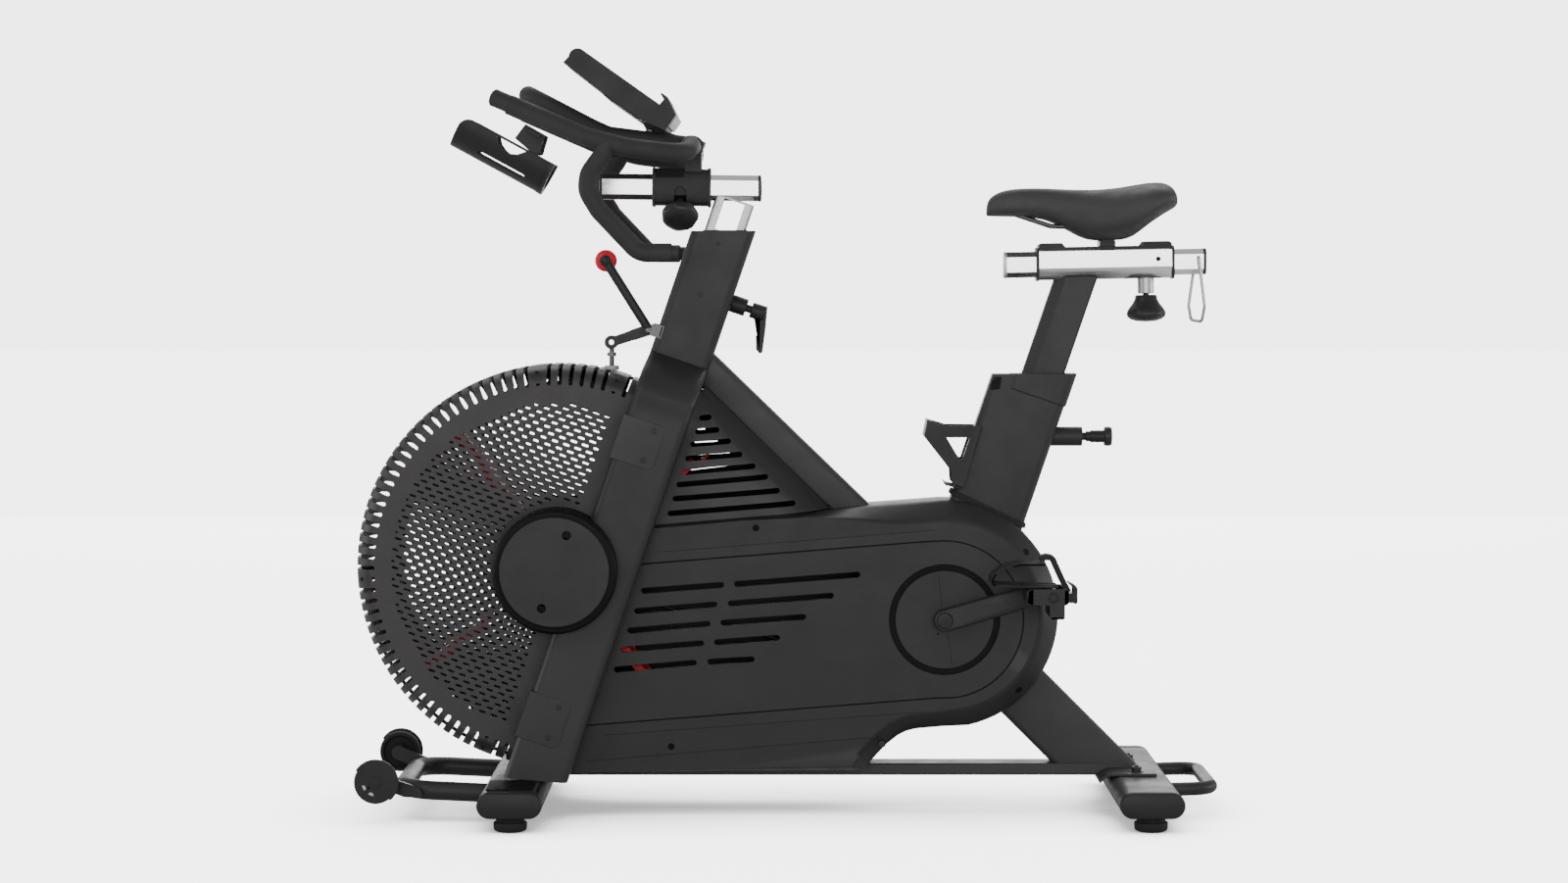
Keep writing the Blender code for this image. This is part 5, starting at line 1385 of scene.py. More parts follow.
add("post_upright", post(), "bare_steel", "bar_post", ["bar_post"], angle=30.0, bevel=0.0006)
add("post_rail", bar(on_rail(RAIL_X[0]), on_rail(RAIL_X[1]), 0.0400, 0.0400, 0.0080, 1), "chrome",
    "bar_post",
    angle=25.0, bevel=0.0007)
add("rail_cap_front", end_plug(RAIL_X[0], -1, on_rail(RAIL_X[0])[1], 0.0400, 0.0400, 0.0080),
    "black_plastic",
    "bar_post", angle=50.0)
add("rail_cap_back", end_plug(RAIL_X[1], 1, on_rail(RAIL_X[1])[1], 0.0400, 0.0400, 0.0080),
    "black_plastic",
    "bar_post", angle=50.0)


def carriage():
    """Sleeve on the rail, with a U-notch for the knob's stem in its near face."""
    low, high = -0.2085, -0.1180
    sleeve = bar(on_rail(low), on_rail(high), 0.0570, 0.0570, 0.0110, 3)
    bore = bar(on_rail(-0.32), on_rail(0.0), 0.0410, 0.0410, 0.0083, 1)
    middle = on_rail(KNOB_X)
    notch = turned([(0.0, 0.0240), (0.0110, 0.0240), (0.0110, 0.0600), (0.0, 0.0600)],
                   (middle[0], 0.0, middle[1]), KNOB_AXIS, 32)
    recess = slab(capsule((KNOB_X, 0.9300), (KNOB_X, 0.9612), 0.0095, 8), -0.0400, -0.0216)
    return carve(sleeve, bore, notch, recess)


def collars():
    parts = []
    for x in (-0.2085, -0.1180 - 0.0045):
        ring = bar(on_rail(x), on_rail(x + 0.0045), 0.0610, 0.0605, 0.0125, 4, ease=0.0010)
        hole = bar(on_rail(-0.32), on_rail(0.0), 0.0410, 0.0410, 0.0083, 1)
        parts.append(carve(ring, hole))
    return merge(*parts)


def stem_block():
    """Block that clamps the crossbar above the carriage."""
    outline = [(-0.1580, 0.9905), (-0.1320, 0.9905), (-0.1320, 1.0210), (-0.1300, 1.0250),
               (-0.1300, 1.0340)]
    outline += arc(CROSSBAR, 0.0185, 10, 170, 12)
    outline += [(-0.1648, 1.0300), (-0.1600, 1.0250), (-0.1580, 1.0200)]
    block = slab(outline, -0.0260, 0.0260)
    seat = turned(pin_profile(0.0146, 0.1),
                  (CROSSBAR[0], 0.0, CROSSBAR[1]),
                  (0, 1, 0), 32)
    split = slab([(-0.1300, 1.0296), (-0.1000, 1.0296), (-0.1000, 1.0314), (-0.1300, 1.0314)],
                 -0.1, 0.1)
    return carve(block, seat, split)


add("carriage", carriage(), "black_plastic", "handlebar", ["bar_carriage"], angle=28.0,
    bevel=0.0007)
# A dark band over the upper part of the carriage's sides and top.
add("carriage_dark_band", slab([(-0.2035, 0.9838), (-0.1590, 0.9838), (-0.1590, 0.9985),
                            (-0.2035, 0.9985)], -0.0286, 0.0286),
    "dark", "handlebar", bevel=0.0008)
add("carriage_collars", collars(), "black_plastic", "handlebar", angle=40.0)
add("stem_block", stem_block(), "lever_black", "handlebar", angle=30.0, bevel=0.0010)
stem_screws = [turned([(0.0028, -0.0260), (0.0044, -0.0260), (0.0044, 0.0), (0.0038, 0.0010),
                       (0.0022, 0.0010), (0.0020, -0.0020), (0.0, -0.0020),
                       (0.0, -0.0260)], (-0.1300, y, 1.0390),
                       (0.4, 0.0, 1.0), 16)
               for y in (-0.0165, 0.0165)]
add("stem_screws", merge(*stem_screws), "bolt", "handlebar")


def lobed(profile, centre, axis, lobes, depth, steps=96):
    """A turned knob whose rim carries shallow finger lobes."""
    bm = turned(profile, (0.0, 0.0, 0.0), (0, 0, 1), steps)
    top = max(radius for radius, _ in profile)
    for vert in bm.verts:
        radius = math.hypot(vert.co.x, vert.co.y)
        if radius > 0.55 * top:
            angle = math.atan2(vert.co.y, vert.co.x)
            share = (radius / top) ** 3
            scale = 1.0 - depth * share * (0.5 - 0.5 * math.cos(lobes * angle))
            vert.co.x *= scale
            vert.co.y *= scale
    turn = Vector((0.0, 0.0, 1.0)).rotation_difference(Vector(axis)).to_matrix().to_4x4()
    bmesh.ops.transform(bm, matrix=Matrix.Translation(Vector(centre)) @ turn, verts=bm.verts)
    return bm


BAR_KNOB = [(0.0, 0.0290), (0.0048, 0.0290), (0.0048, 0.0400), (0.0105, 0.0400), (0.0110, 0.0425),
            (0.0110, 0.0470), (0.0170, 0.0500), (0.0240, 0.0535), (0.0276, 0.0575),
            (0.0290, 0.0612), (0.0286, 0.0655), (0.0262, 0.0700), (0.0210, 0.0732),
            (0.0130, 0.0748), (0.0, 0.0753)]
knob_at = on_rail(KNOB_X)
add("carriage_knob", lobed(BAR_KNOB, (knob_at[0], 0.0, knob_at[1]), KNOB_AXIS, 7, 0.05),
    "knob_plastic", "bar_knob",
    ["bar_knob"], angle=45.0)


OUTER_PATH = [(-0.4413, -0.1500, 1.1008), (-0.3000, -0.2150, 1.0400), (-0.2400, -0.2300, 1.0240),
              (-0.1500, -0.2300, 1.0130), (CROSSBAR[0], -0.1500, CROSSBAR[1])]
OUTER_BACK = [(x, -y, z) for x, y, z in reversed(OUTER_PATH)]


def coated_bar(path, thin, full, start_length, end_length):
    """A bar whose grip coating begins with a small step near its bare ends."""
    total = sum((Vector(b) - Vector(a)).length for a, b in zip(path, path[1:]))
    fine = []
    for a, b in zip(path, path[1:]):
        a, b = Vector(a), Vector(b)
        pieces = max(1, math.ceil((b - a).length / 0.0030))
        fine += [a.lerp(b, i / pieces) for i in range(pieces)]
    fine.append(Vector(path[-1]))

    def section(share):
        reach = share * total
        near = min(reach - start_length, total - end_length - reach)
        blend = max(0.0, min(1.0, near / 0.0030))
        return circle((0.0, 0.0), thin + (full - thin) * blend, 28)

    return swept(fine, section)


def tip_plug(path, radius, reach=0.0030):
    """Flat plug in the end of a bar."""
    end, before = Vector(path[0]), Vector(path[1])
    out = (end - before).normalized()
    return turned([(0.0, -0.0040), (radius - 0.0010, -0.0040), (radius, -0.0010),
                   (radius, reach - 0.0012), (radius - 0.0012, reach),
                   (0.0, reach + 0.0004)], end, out, 28)


outer_points = path_points(OUTER_PATH + OUTER_BACK, 0.0450, 10)
add("outer_handlebar", coated_bar(outer_points, 0.0134, 0.0143, 0.0240, 0.0240), "grip_coating",
    "handlebar",
    ["outer_bar"], angle=50.0)
add("outer_plugs", merge(tip_plug(outer_points, 0.0136), tip_plug(list(reversed(outer_points)),
        0.0136)),
    "black_plastic", "handlebar", angle=50.0)

start_x, start_z = CROSSBAR[0] - 0.0080, CROSSBAR[1] + 0.0015
INNER_PATH = [(start_x, -0.0700, start_z), (-0.2750, -0.0700, 1.0470), (-0.3050, -0.0700, 1.0610),
              (-0.3995, -0.0700, 1.1104), (-0.3995, 0.0700, 1.1104), (-0.3050, 0.0700, 1.0610),
              (-0.2750, 0.0700, 1.0470), (start_x, 0.0700, start_z)]
add("inner_loop", bent_tube(INNER_PATH, 0.0144, 0.0420, 28, 10), "grip_coating", "handlebar",
    ["inner_bar"], angle=50.0)


def drop_path(side):
    y = side * 0.2240
    points = [(-0.2655, y, 1.0300), (-0.2756, y, 1.0126), (-0.2957, y, 0.9852),
              (-0.2990, y, 0.9602), (-0.2808, y, 0.9303), (-0.2208, y, 0.8670),
              (-0.1740, y, 0.8670)]
    return path_points(points, 0.0300, 8)


for side, ending in ((-1, "left"), (1, "right")):
    route = drop_path(side)
    add(f"drop_handle_{ending}", bent_tube([tuple(p) for p in route], 0.0142, 0.0100, 28, 2),
        "grip_coating", "handlebar",
        [f"drop_grip_{ending}"], angle=50.0)
    end = Vector((-0.1740, side * 0.2240, 0.8670))
    lip = turned([(0.0, -0.0030), (0.0136, -0.0030), (0.0141, 0.0), (0.0136, 0.0016),
                  (0.0, 0.0016)], end,
                 (1, 0, 0), 28)
    plug = turned([(0.0, -0.0010), (0.0112, -0.0010), (0.0112, 0.0095), (0.0104, 0.0108),
                   (0.0, 0.0110)], end,
                  (1, 0, 0), 28)
    add(f"drop_plug_{ending}", merge(lip, plug), "black_plastic", "handlebar", angle=50.0)


# ---------------------------------------------------------------- tablet holder
TABLET_PIVOT = (-0.2120, 1.0545)
TABLET_UP = math.atan2(1.0925 - 1.1740, -0.1930 + 0.3080)


def tray():
    """Deep tray with a rounded head, a hooked lip at its foot and a pocket for the tablet."""
    outline = [(-0.3400, 1.1560)] + arc((-0.3180, 1.1640), 0.0135, 175, 62, 8)
    outline += [(-0.1935, 1.0925), (-0.1872, 1.1000), (-0.1925, 1.1095), (-0.1905, 1.1100),
                (-0.1815, 1.1042), (-0.1690, 1.0775), (-0.1862, 1.0530), (-0.2260, 1.0715),
                (-0.2800, 1.1095)]
    shell = slab(outline, -0.1245, 0.1245)
    run = Vector((math.cos(TABLET_UP), math.sin(TABLET_UP)))
    lift = Vector((-run.y, run.x))
    start = Vector((-0.2960, 1.1655))
    corners = [start - lift * 0.0030, start + run * 0.1190 - lift * 0.0030,
               start + run * 0.1190 + lift * 0.02, start + lift * 0.02]
    pocket = slab([(p.x, p.y) for p in corners], -0.1150, 0.1150)
    return carve(shell, pocket)


def tray_ribs():
    """Rubber strips inside the pocket."""
    run = Vector((math.cos(TABLET_UP), math.sin(TABLET_UP)))
    lift = Vector((-run.y, run.x))
    parts = []
    for reach in (0.0200, 0.0550, 0.0900):
        start = Vector((-0.2960, 1.1655)) + run * reach - lift * 0.0034
        corners = [start, start + run * 0.0070, start + run * 0.0070 + lift * 0.0016,
                   start + lift * 0.0016]
        parts.append(slab([(p.x, p.y) for p in corners], -0.1050, 0.1050))
    return merge(*parts)


def tray_strip():
    """Thin rail along the tray's underside."""
    return slab([(-0.2795, 1.1102), (-0.2795, 1.1068), (-0.2300, 1.0722), (-0.2262, 1.0703),
                 (-0.2262, 1.0740)],
                -0.1180, 0.1180)


def lip_strip():
    return slab([(-0.1689, 1.0772), (-0.1668, 1.0752), (-0.1789, 1.0580), (-0.1810, 1.0598)],
                -0.1200, 0.1200)


def tray_knuckle():
    """Web and knuckle that turn on the bracket's pin."""
    x, z = TABLET_PIVOT
    web = slab([(-0.2252, 1.0712), (-0.2170, 1.0560), (-0.2100, 1.0520), (-0.1872, 1.0499),
                (-0.1700, 1.0499), (-0.1862, 1.0545)], -0.0205, 0.0205)
    barrel = turned([(0.0030, -0.0208), (0.0062, -0.0208), (0.0062, 0.0208), (0.0030, 0.0208)],
                    (x, 0.0, z),
                    (0, 1, 0), 28)
    return merge(web, barrel)


def tray_bracket():
    """Bar across the inner loop with two ears."""
    x = TABLET_PIVOT[0]
    base = slab([(x - 0.0140, 1.0310), (x + 0.0140, 1.0290), (x + 0.0140, 1.0395),
                 (x + 0.0100, 1.0420), (x - 0.0100, 1.0440), (x - 0.0140, 1.0425)], -0.0550, 0.0550)
    parts = [base]
    for side in (-1, 1):
        low, high = sorted((side * 0.0215, side * 0.0260))
        parts.append(slab([(x - 0.0080, 1.0350), (x + 0.0080, 1.0350)] + arc(TABLET_PIVOT, 0.0068,
                -10, 190, 12),
                          low, high))
    return merge(*parts)


add("tablet_tray", tray(), "black_plastic", "tablet", ["tablet_holder"], angle=28.0, bevel=0.0012)
add("tablet_ribs", tray_ribs(), "rubber", "tablet", bevel=0.0005)
add("tablet_strip", tray_strip(), "lever_black", "tablet", bevel=0.0005)
add("tablet_lip_strip", lip_strip(), "label", "tablet", bevel=0.0005)
add("tablet_knuckle", tray_knuckle(), "lever_black", "tablet", bevel=0.0005)
add("tablet_mount", tray_bracket(), "lever_black", "handlebar", ["tablet_bracket"], bevel=0.0007)
add("tablet_pin", merge(rod((TABLET_PIVOT[0], -0.0290, TABLET_PIVOT[1]),
                            (TABLET_PIVOT[0], 0.0290, TABLET_PIVOT[1]),
                            0.0025, 16),
                        *[turned([(0.0, 0.0), (0.0050, 0.0), (0.0050, 0.0022), (0.0036, 0.0034),
                                  (0.0, 0.0034)],
                                 (TABLET_PIVOT[0], side * 0.0262, TABLET_PIVOT[1]), (0, side, 0),
                                 20)
                          for side in (-1, 1)]), "bolt", "handlebar")

# ---------------------------------------------------------------- bottle holder
BOTTLE_SLOPE = math.radians(-28.5)
BOTTLE_START = (-0.5024, 1.0725)
BOTTLE_LENGTH = 0.1570
BOTTLE_RADIUS = 0.0430
BOTTLE_RIM = 0.0080


def along_bottle(reach, rise=0.0):
    run = (math.cos(BOTTLE_SLOPE), math.sin(BOTTLE_SLOPE))
    return (BOTTLE_START[0] + reach * run[0] - rise * run[1],
            BOTTLE_START[1] + reach * run[1] + rise * run[0])


def rolled(bm, radius):
    """Roll a flat (reach, thickness, girth) sheet into the trough's U section."""
    quarter = math.pi / 2 * radius
    for vert in bm.verts:
        reach, skin, girth = vert.co
        bend = radius - skin
        if abs(girth) <= quarter:
            angle = girth / radius
            across, rise = bend * math.sin(angle), -bend * math.cos(angle)
        else:
            across, rise = math.copysign(bend, girth), abs(girth) - quarter
        x, z = along_bottle(reach, rise)
        vert.co = (x, across, z)
    return bm


def trough():
    """U-shaped trough with a window and a slot in each side, and rounded upper corners."""
    quarter = math.pi / 2 * BOTTLE_RADIUS
    edge = quarter + BOTTLE_RIM
    corner = 0.0180
    left = arc((corner, edge - corner), corner, 90, 180, 6)
    right = [(x, -z) for x, z in reversed(left)]
    outline = [(BOTTLE_LENGTH, edge)] + left + right + [(BOTTLE_LENGTH, -edge)]
    top = quarter + BOTTLE_RIM - 0.0035
    window = [(0.0600, top), (0.0670, top - 0.0085), (0.0780, top - 0.0145), (0.0887, top - 0.0165),
              (0.1007, top - 0.0110), (0.1112, top)]
    slot_low = [(0.0480, -0.0290), (0.1228, -0.0290)]
    holes = []
    for way in (1, -1):
        holes.append([(x, way * z) for x, z in window])
        holes.append(capsule((slot_low[0][0], way * 0.0325), (slot_low[1][0], way * 0.0325),
                             0.0036, 6))
    bm = filled(outline, holes)
    steps = 26
    for i in range(1, steps):
        girth = -quarter + 2 * quarter * i / steps
        bmesh.ops.bisect_plane(bm, geom=bm.verts[:] + bm.edges[:] + bm.faces[:], dist=FINE_CUT_DIST,
                               plane_co=(0.0, 0.0, girth), plane_no=(0.0, 0.0, 1.0))
    for way in (-1, 1):
        bmesh.ops.bisect_plane(bm, geom=bm.verts[:] + bm.edges[:] + bm.faces[:], dist=FINE_CUT_DIST,
                               plane_co=(0.0, 0.0, way * quarter), plane_no=(0.0, 0.0, 1.0))
    thicken(bm, 0.0, 0.0028)
    return rolled(bm, BOTTLE_RADIUS)


def trough_ring():
    """Raised band and inner stop at the lower end."""
    quarter = math.pi / 2 * BOTTLE_RADIUS
    edge = quarter + BOTTLE_RIM
    parts = []
    for low, high, out, inner in ((0.1500, 0.1530, 0.0006, 0.0030),
                                  (0.1536, 0.1600, 0.0010, 0.0090)):
        path = [(low, edge), (high, edge), (high, -edge), (low, -edge)]
        bm = filled(path)
        steps = 26
        for i in range(0, steps + 1):
            girth = -quarter + 2 * quarter * i / steps
            bmesh.ops.bisect_plane(bm, geom=bm.verts[:] + bm.edges[:] + bm.faces[:],
                                   dist=FINE_CUT_DIST,
                                   plane_co=(0.0, 0.0, girth), plane_no=(0.0, 0.0, 1.0))
        thicken(bm, -out, inner)
        parts.append(rolled(bm, BOTTLE_RADIUS))
    return merge(*parts)


def trough_hanger():
    """Plate that hangs the trough from the inner loop."""
    outline = [(-0.4031, 1.0660), (-0.3732, 1.0490), (-0.3814, 1.0210), (-0.3864, 1.0190),
               (-0.3960, 1.0235), (-0.4198, 1.0442)]
    parts = []
    for side in (-1, 1):
        low, high = sorted((side * 0.0390, side * 0.0425))
        parts.append(slab(outline, low, high))
    bridge = slab([(-0.4010, 1.0600), (-0.3790, 1.0480), (-0.3810, 1.0440), (-0.4040, 1.0562)],
                  -0.0560, 0.0560)
    return merge(*parts, bridge)


add("trough", trough(), "black_plastic", "handlebar", ["bottle_holder"], angle=30.0)
add("trough_ring", trough_ring(), "lever_black", "handlebar", angle=30.0)
add("trough_hanger", trough_hanger(), "black_plastic", "handlebar", bevel=0.0008)

# ---------------------------------------------------------------- saddle and its slider
SLIDER_TILT = math.radians(1.1)
SLIDER_CENTRE = (0.4940, 0.8515)


def slider_point(reach, rise=0.0):
    run = (math.cos(SLIDER_TILT), math.sin(SLIDER_TILT))
    return (SLIDER_CENTRE[0] + reach * run[0] - rise * run[1],
            SLIDER_CENTRE[1] + reach * run[1] + rise * run[0])


SLIDER_DOWN = (math.sin(SLIDER_TILT), 0.0, -math.cos(SLIDER_TILT))


def sleeve():
    """Chrome sleeve with wide lower and small upper chamfers, open on top for the saddle's stem."""
    section = [(-0.0245, 0.0120), (-0.0215, 0.0165), (-0.0066, 0.0260), (0.0198, 0.0260),
               (0.0204, 0.0254)]
    section += [(rise, -across) for rise, across in reversed(section)]
    rings = []
    for reach in (-0.1030, 0.1030):
        ring = []
        for rise, across in section:
            x, z = slider_point(reach, rise)
            ring.append((x, across, z))
        rings.append(ring)
    body = loft(rings)
    bore = bar(slider_point(-0.3), slider_point(0.3), 0.0412, 0.0412, 0.0082, 1)
    opening = slab([slider_point(-0.0440, 0.0150), slider_point(0.0640, 0.0150),
                    slider_point(0.0640, 0.0400), slider_point(-0.0440, 0.0400)], -0.0135, 0.0135)
    return carve(body, bore, opening)


def sleeve_end(reach, way):
    ring = bar(slider_point(reach), slider_point(reach + way * 0.0040), 0.0520, 0.0530, 0.0115, 2,
               ease=0.0008)
    hole = bar(slider_point(-0.3), slider_point(0.3), 0.0408, 0.0408, 0.0080, 1)
    return carve(ring, hole)


def sleeve_lid():
    """Black cover on top of the sleeve, raised at both ends."""
    outline = [slider_point(-0.1030, 0.0206), slider_point(-0.1030, 0.0295),
               slider_point(-0.0985, 0.0326), slider_point(-0.0674, 0.0326),
               slider_point(-0.0622, 0.0262), slider_point(0.0560, 0.0262),
               slider_point(0.0610, 0.0326), slider_point(0.0985, 0.0326),
               slider_point(0.1030, 0.0295), slider_point(0.1030, 0.0206)]
    lid = slab(outline, -0.0258, 0.0258)
    opening = slab([slider_point(-0.0440, 0.0100), slider_point(0.0640, 0.0100),
                    slider_point(0.0640, 0.0400), slider_point(-0.0440, 0.0400)], -0.0135, 0.0135)
    return carve(lid, opening)


def knob_boss():
    """Steel boss that the clamp knob screws into."""
    centre = slider_point(0.0640)
    profile = [(0.0056, 0.0216), (0.0127, 0.0216), (0.0127, 0.0470), (0.0118, 0.0480),
               (0.0056, 0.0480)]
    return turned(profile, (centre[0], 0.0, centre[1]), SLIDER_DOWN, 40)


add("sleeve", sleeve(), "chrome", "seat_post", ["slider_sleeve"], angle=25.0, bevel=0.0007)
add("sleeve_ends", merge(sleeve_end(-0.1030, -1), sleeve_end(0.1030, 1)), "black_plastic",
    "seat_post", angle=40.0)
add("sleeve_lid", sleeve_lid(), "black_plastic", "seat_post", angle=28.0, bevel=0.0008)
add("knob_boss", knob_boss(), "bare_steel", "seat_post")
add("sleeve_mark", turned([(0.0, 0.0240), (0.0036, 0.0240), (0.0036, 0.0264), (0.0, 0.0264)],
                          (0.5754, 0.0, 0.8583),
                          (0, -1, 0), 20),
    "dark", "seat_post")
SEAT_KNOB = [(0.0, 0.0230), (0.0048, 0.0230), (0.0048, 0.0505), (0.0155, 0.0505), (0.0165, 0.0514),
             (0.0175, 0.0570), (0.0212, 0.0640), (0.0268, 0.0710), (0.0302, 0.0770),
             (0.0305, 0.0800), (0.0292, 0.0845), (0.0235, 0.0885), (0.0150, 0.0912), (0.0, 0.0922)]
seat_knob_at = slider_point(0.0640)
add("saddle_knob", lobed(SEAT_KNOB, (seat_knob_at[0], 0.0, seat_knob_at[1]), SLIDER_DOWN, 6, 0.06),
    "knob_plastic",
    "seat_knob", ["seat_knob"], angle=45.0)

add("inner_slide", bar(slider_point(-0.1545), slider_point(0.1545), 0.0400, 0.0400, 0.0080, 1),
    "chrome",
    "saddle_slider", ["slider_tube"], angle=25.0, bevel=0.0007)


def slide_cap(way):
    """Domed plug in the end of the slider's inner tube."""
    end = slider_point(way * 0.1545)
    return end_plug(end[0], way, end[1], 0.0400, 0.0400, 0.0080, 0.0026)


add("slide_cap_front", slide_cap(-1), "bare_steel", "saddle_slider", angle=50.0)
add("slide_cap_back", slide_cap(1), "black_plastic", "saddle_slider", angle=50.0)
stem_at = slider_point(0.0050)
add("saddle_stem", turned([(0.0, 0.0150), (0.0112, 0.0150), (0.0112, 0.0330), (0.0, 0.0330)],
                          (stem_at[0], 0.0, stem_at[1]), (0, 0, 1), 32), "chrome", "saddle_slider")


def rail_clamp():
    """Small plain clamp that holds the saddle's two rails."""
    return slab([(0.4848, 0.8771), (0.5090, 0.8771), (0.5090, 0.8861), (0.5040, 0.8880),
                 (0.4890, 0.8880), (0.4848, 0.8861)], -0.0250, 0.0250)


add("rail_clamp", rail_clamp(), "lever_black", "saddle_slider", bevel=0.0006)
add("rail_clamp_plate", slab([(0.4891, 0.8882), (0.5017, 0.8882), (0.5017, 0.8897),
                              (0.4891, 0.8897)], -0.0252, 0.0252),
    "bare_steel", "saddle_slider", bevel=0.0003)


def saddle_stations():
    """(x, half width, low z, high z) along the saddle, nose first."""
    return [(0.3098, 0.0040, 0.9265, 0.9330), (0.3104, 0.0110, 0.9252, 0.9410),
            (0.3134, 0.0165, 0.9245, 0.9500), (0.3200, 0.0205, 0.9240, 0.9565),
            (0.3300, 0.0238, 0.9238, 0.9620), (0.3450, 0.0268, 0.9236, 0.9660),
            (0.3650, 0.0295, 0.9232, 0.9682), (0.3900, 0.0325, 0.9215, 0.9690),
            (0.4150, 0.0370, 0.9140, 0.9683), (0.4400, 0.0460, 0.9000, 0.9668),
            (0.4650, 0.0600, 0.8868, 0.9662), (0.4900, 0.0765, 0.8862, 0.9668),
            (0.5150, 0.0935, 0.8868, 0.9695), (0.5350, 0.1045, 0.8905, 0.9730),
            (0.5550, 0.1120, 0.9080, 0.9762), (0.5720, 0.1140, 0.9200, 0.9774),
            (0.5850, 0.1100, 0.9285, 0.9755), (0.5940, 0.1010, 0.9335, 0.9700),
            (0.5990, 0.0860, 0.9365, 0.9610), (0.6004, 0.0640, 0.9400, 0.9530)]


SADDLE_STEPS = 40


def saddle_body():
    """Padded saddle: crowned top with a shallow channel, rolled sides, and a flatter underside."""
    rings = []
    for x, half, low, high in saddle_stations():
        ring = []
        for i in range(SADDLE_STEPS):
            angle = 2 * math.pi * i / SADDLE_STEPS
            across = math.copysign(abs(math.cos(angle)) ** 0.72, math.cos(angle))
            rise = math.copysign(abs(math.sin(angle)) ** 0.78, math.sin(angle))
            seam = low + 0.42 * (high - low)
            z = seam + rise * ((high - seam) if rise > 0 else (seam - low))
            if rise < 0:
                across *= 1.0 - 0.16 * rise * rise
            if rise > 0.3 and 0.35 < x < 0.59:
                depth = 0.0030 * math.sin(math.pi * (x - 0.35) / 0.24)
                z -= depth * math.exp(-((across * half) / 0.0110) ** 2)
            ring.append((x, across * half, z))
        rings.append(ring)
    return loft(rings)


saddle = add("saddle_pad", saddle_body(), "saddle_cover", "saddle_slider", ["saddle"], angle=180.0)
smooth = saddle.modifiers.new("smooth", "SUBSURF")
smooth.levels = 2
smooth.render_levels = 2


def saddle_rails():
    """Two wire rails from the nose to the back, through the clamp."""
    parts = []
    for side in (-1, 1):
        points = [(0.3538, side * 0.0100, 0.9275), (0.4101, side * 0.0150, 0.9090),
                  (0.4450, side * 0.0200, 0.9078), (0.4587, side * 0.0215, 0.9000),
                  (0.4760, side * 0.0215, 0.8915), (0.5200, side * 0.0215, 0.8915),
                  (0.5400, side * 0.0260, 0.9040), (0.5640, side * 0.0400, 0.9260)]
        parts.append(bent_tube(points, 0.0035, 0.0150, 14, 5))
    return merge(*parts)


add("saddle_rails", saddle_rails(), "bolt", "saddle_slider", angle=60.0)

BAIL = [(0.6383, -0.0203, 0.8608), (0.6383, -0.0236, 0.8600), (0.6477, -0.0236, 0.7853),
        (0.6443, -0.0170, 0.7608), (0.6314, 0.0170, 0.7630), (0.6283, 0.0236, 0.7848),
        (0.6383, 0.0236, 0.8600), (0.6383, 0.0203, 0.8608)]
add("bail_wire", bent_tube(BAIL, 0.0025, 0.0080, 12, 6), "bare_steel", "bail", ["wire_bail"],
    angle=60.0)


def pull_pin():
    """Ribbed neck of the spring pin behind its washer."""
    profile = [(0.0, 0.0500), (0.0062, 0.0500), (0.0062, 0.0564), (0.0080, 0.0566),
               (0.0080, 0.0635), (0.0092, 0.0637), (0.0097, 0.0650), (0.0093, 0.0700),
               (0.0097, 0.0750), (0.0093, 0.0800), (0.0097, 0.0846), (0.0, 0.0846)]
    return turned(profile, (0.4100, 0.0, 0.5818), (1, 0, 0), 48)


def pull_grip():
    """Round pull head with softened edges."""
    return turned([(0.0, 0.0846), (0.0132, 0.0846), (0.0150, 0.0862), (0.0152, 0.0890),
                   (0.0150, 0.0935), (0.0136, 0.0962), (0.0100, 0.0969),
                   (0.0, 0.0969)], (0.4100, 0.0, 0.5818),
                   (1, 0, 0), 48)


add("pull_head", pull_pin(), "black_plastic", "pop_pin", ["pop_pin"], angle=45.0)
add("pull_grip", pull_grip(), "knob_plastic", "pop_pin", angle=45.0)
add("pull_plunger", rod((0.4305, 0.0, 0.5818), (0.4712, 0.0, 0.5818), 0.0058, 32), "chrome",
    "pop_pin")

# ---------------------------------------------------------------- cranks, pedals and toe cages
CRANK_ANGLE = 16.1
CRANK_LENGTH = 0.1650


def pedal_centre(side):
    angle = math.radians(CRANK_ANGLE if side < 0 else CRANK_ANGLE + 180.0)
    return (CRANK[0] + CRANK_LENGTH * math.cos(angle), CRANK[1] + CRANK_LENGTH * math.sin(angle))


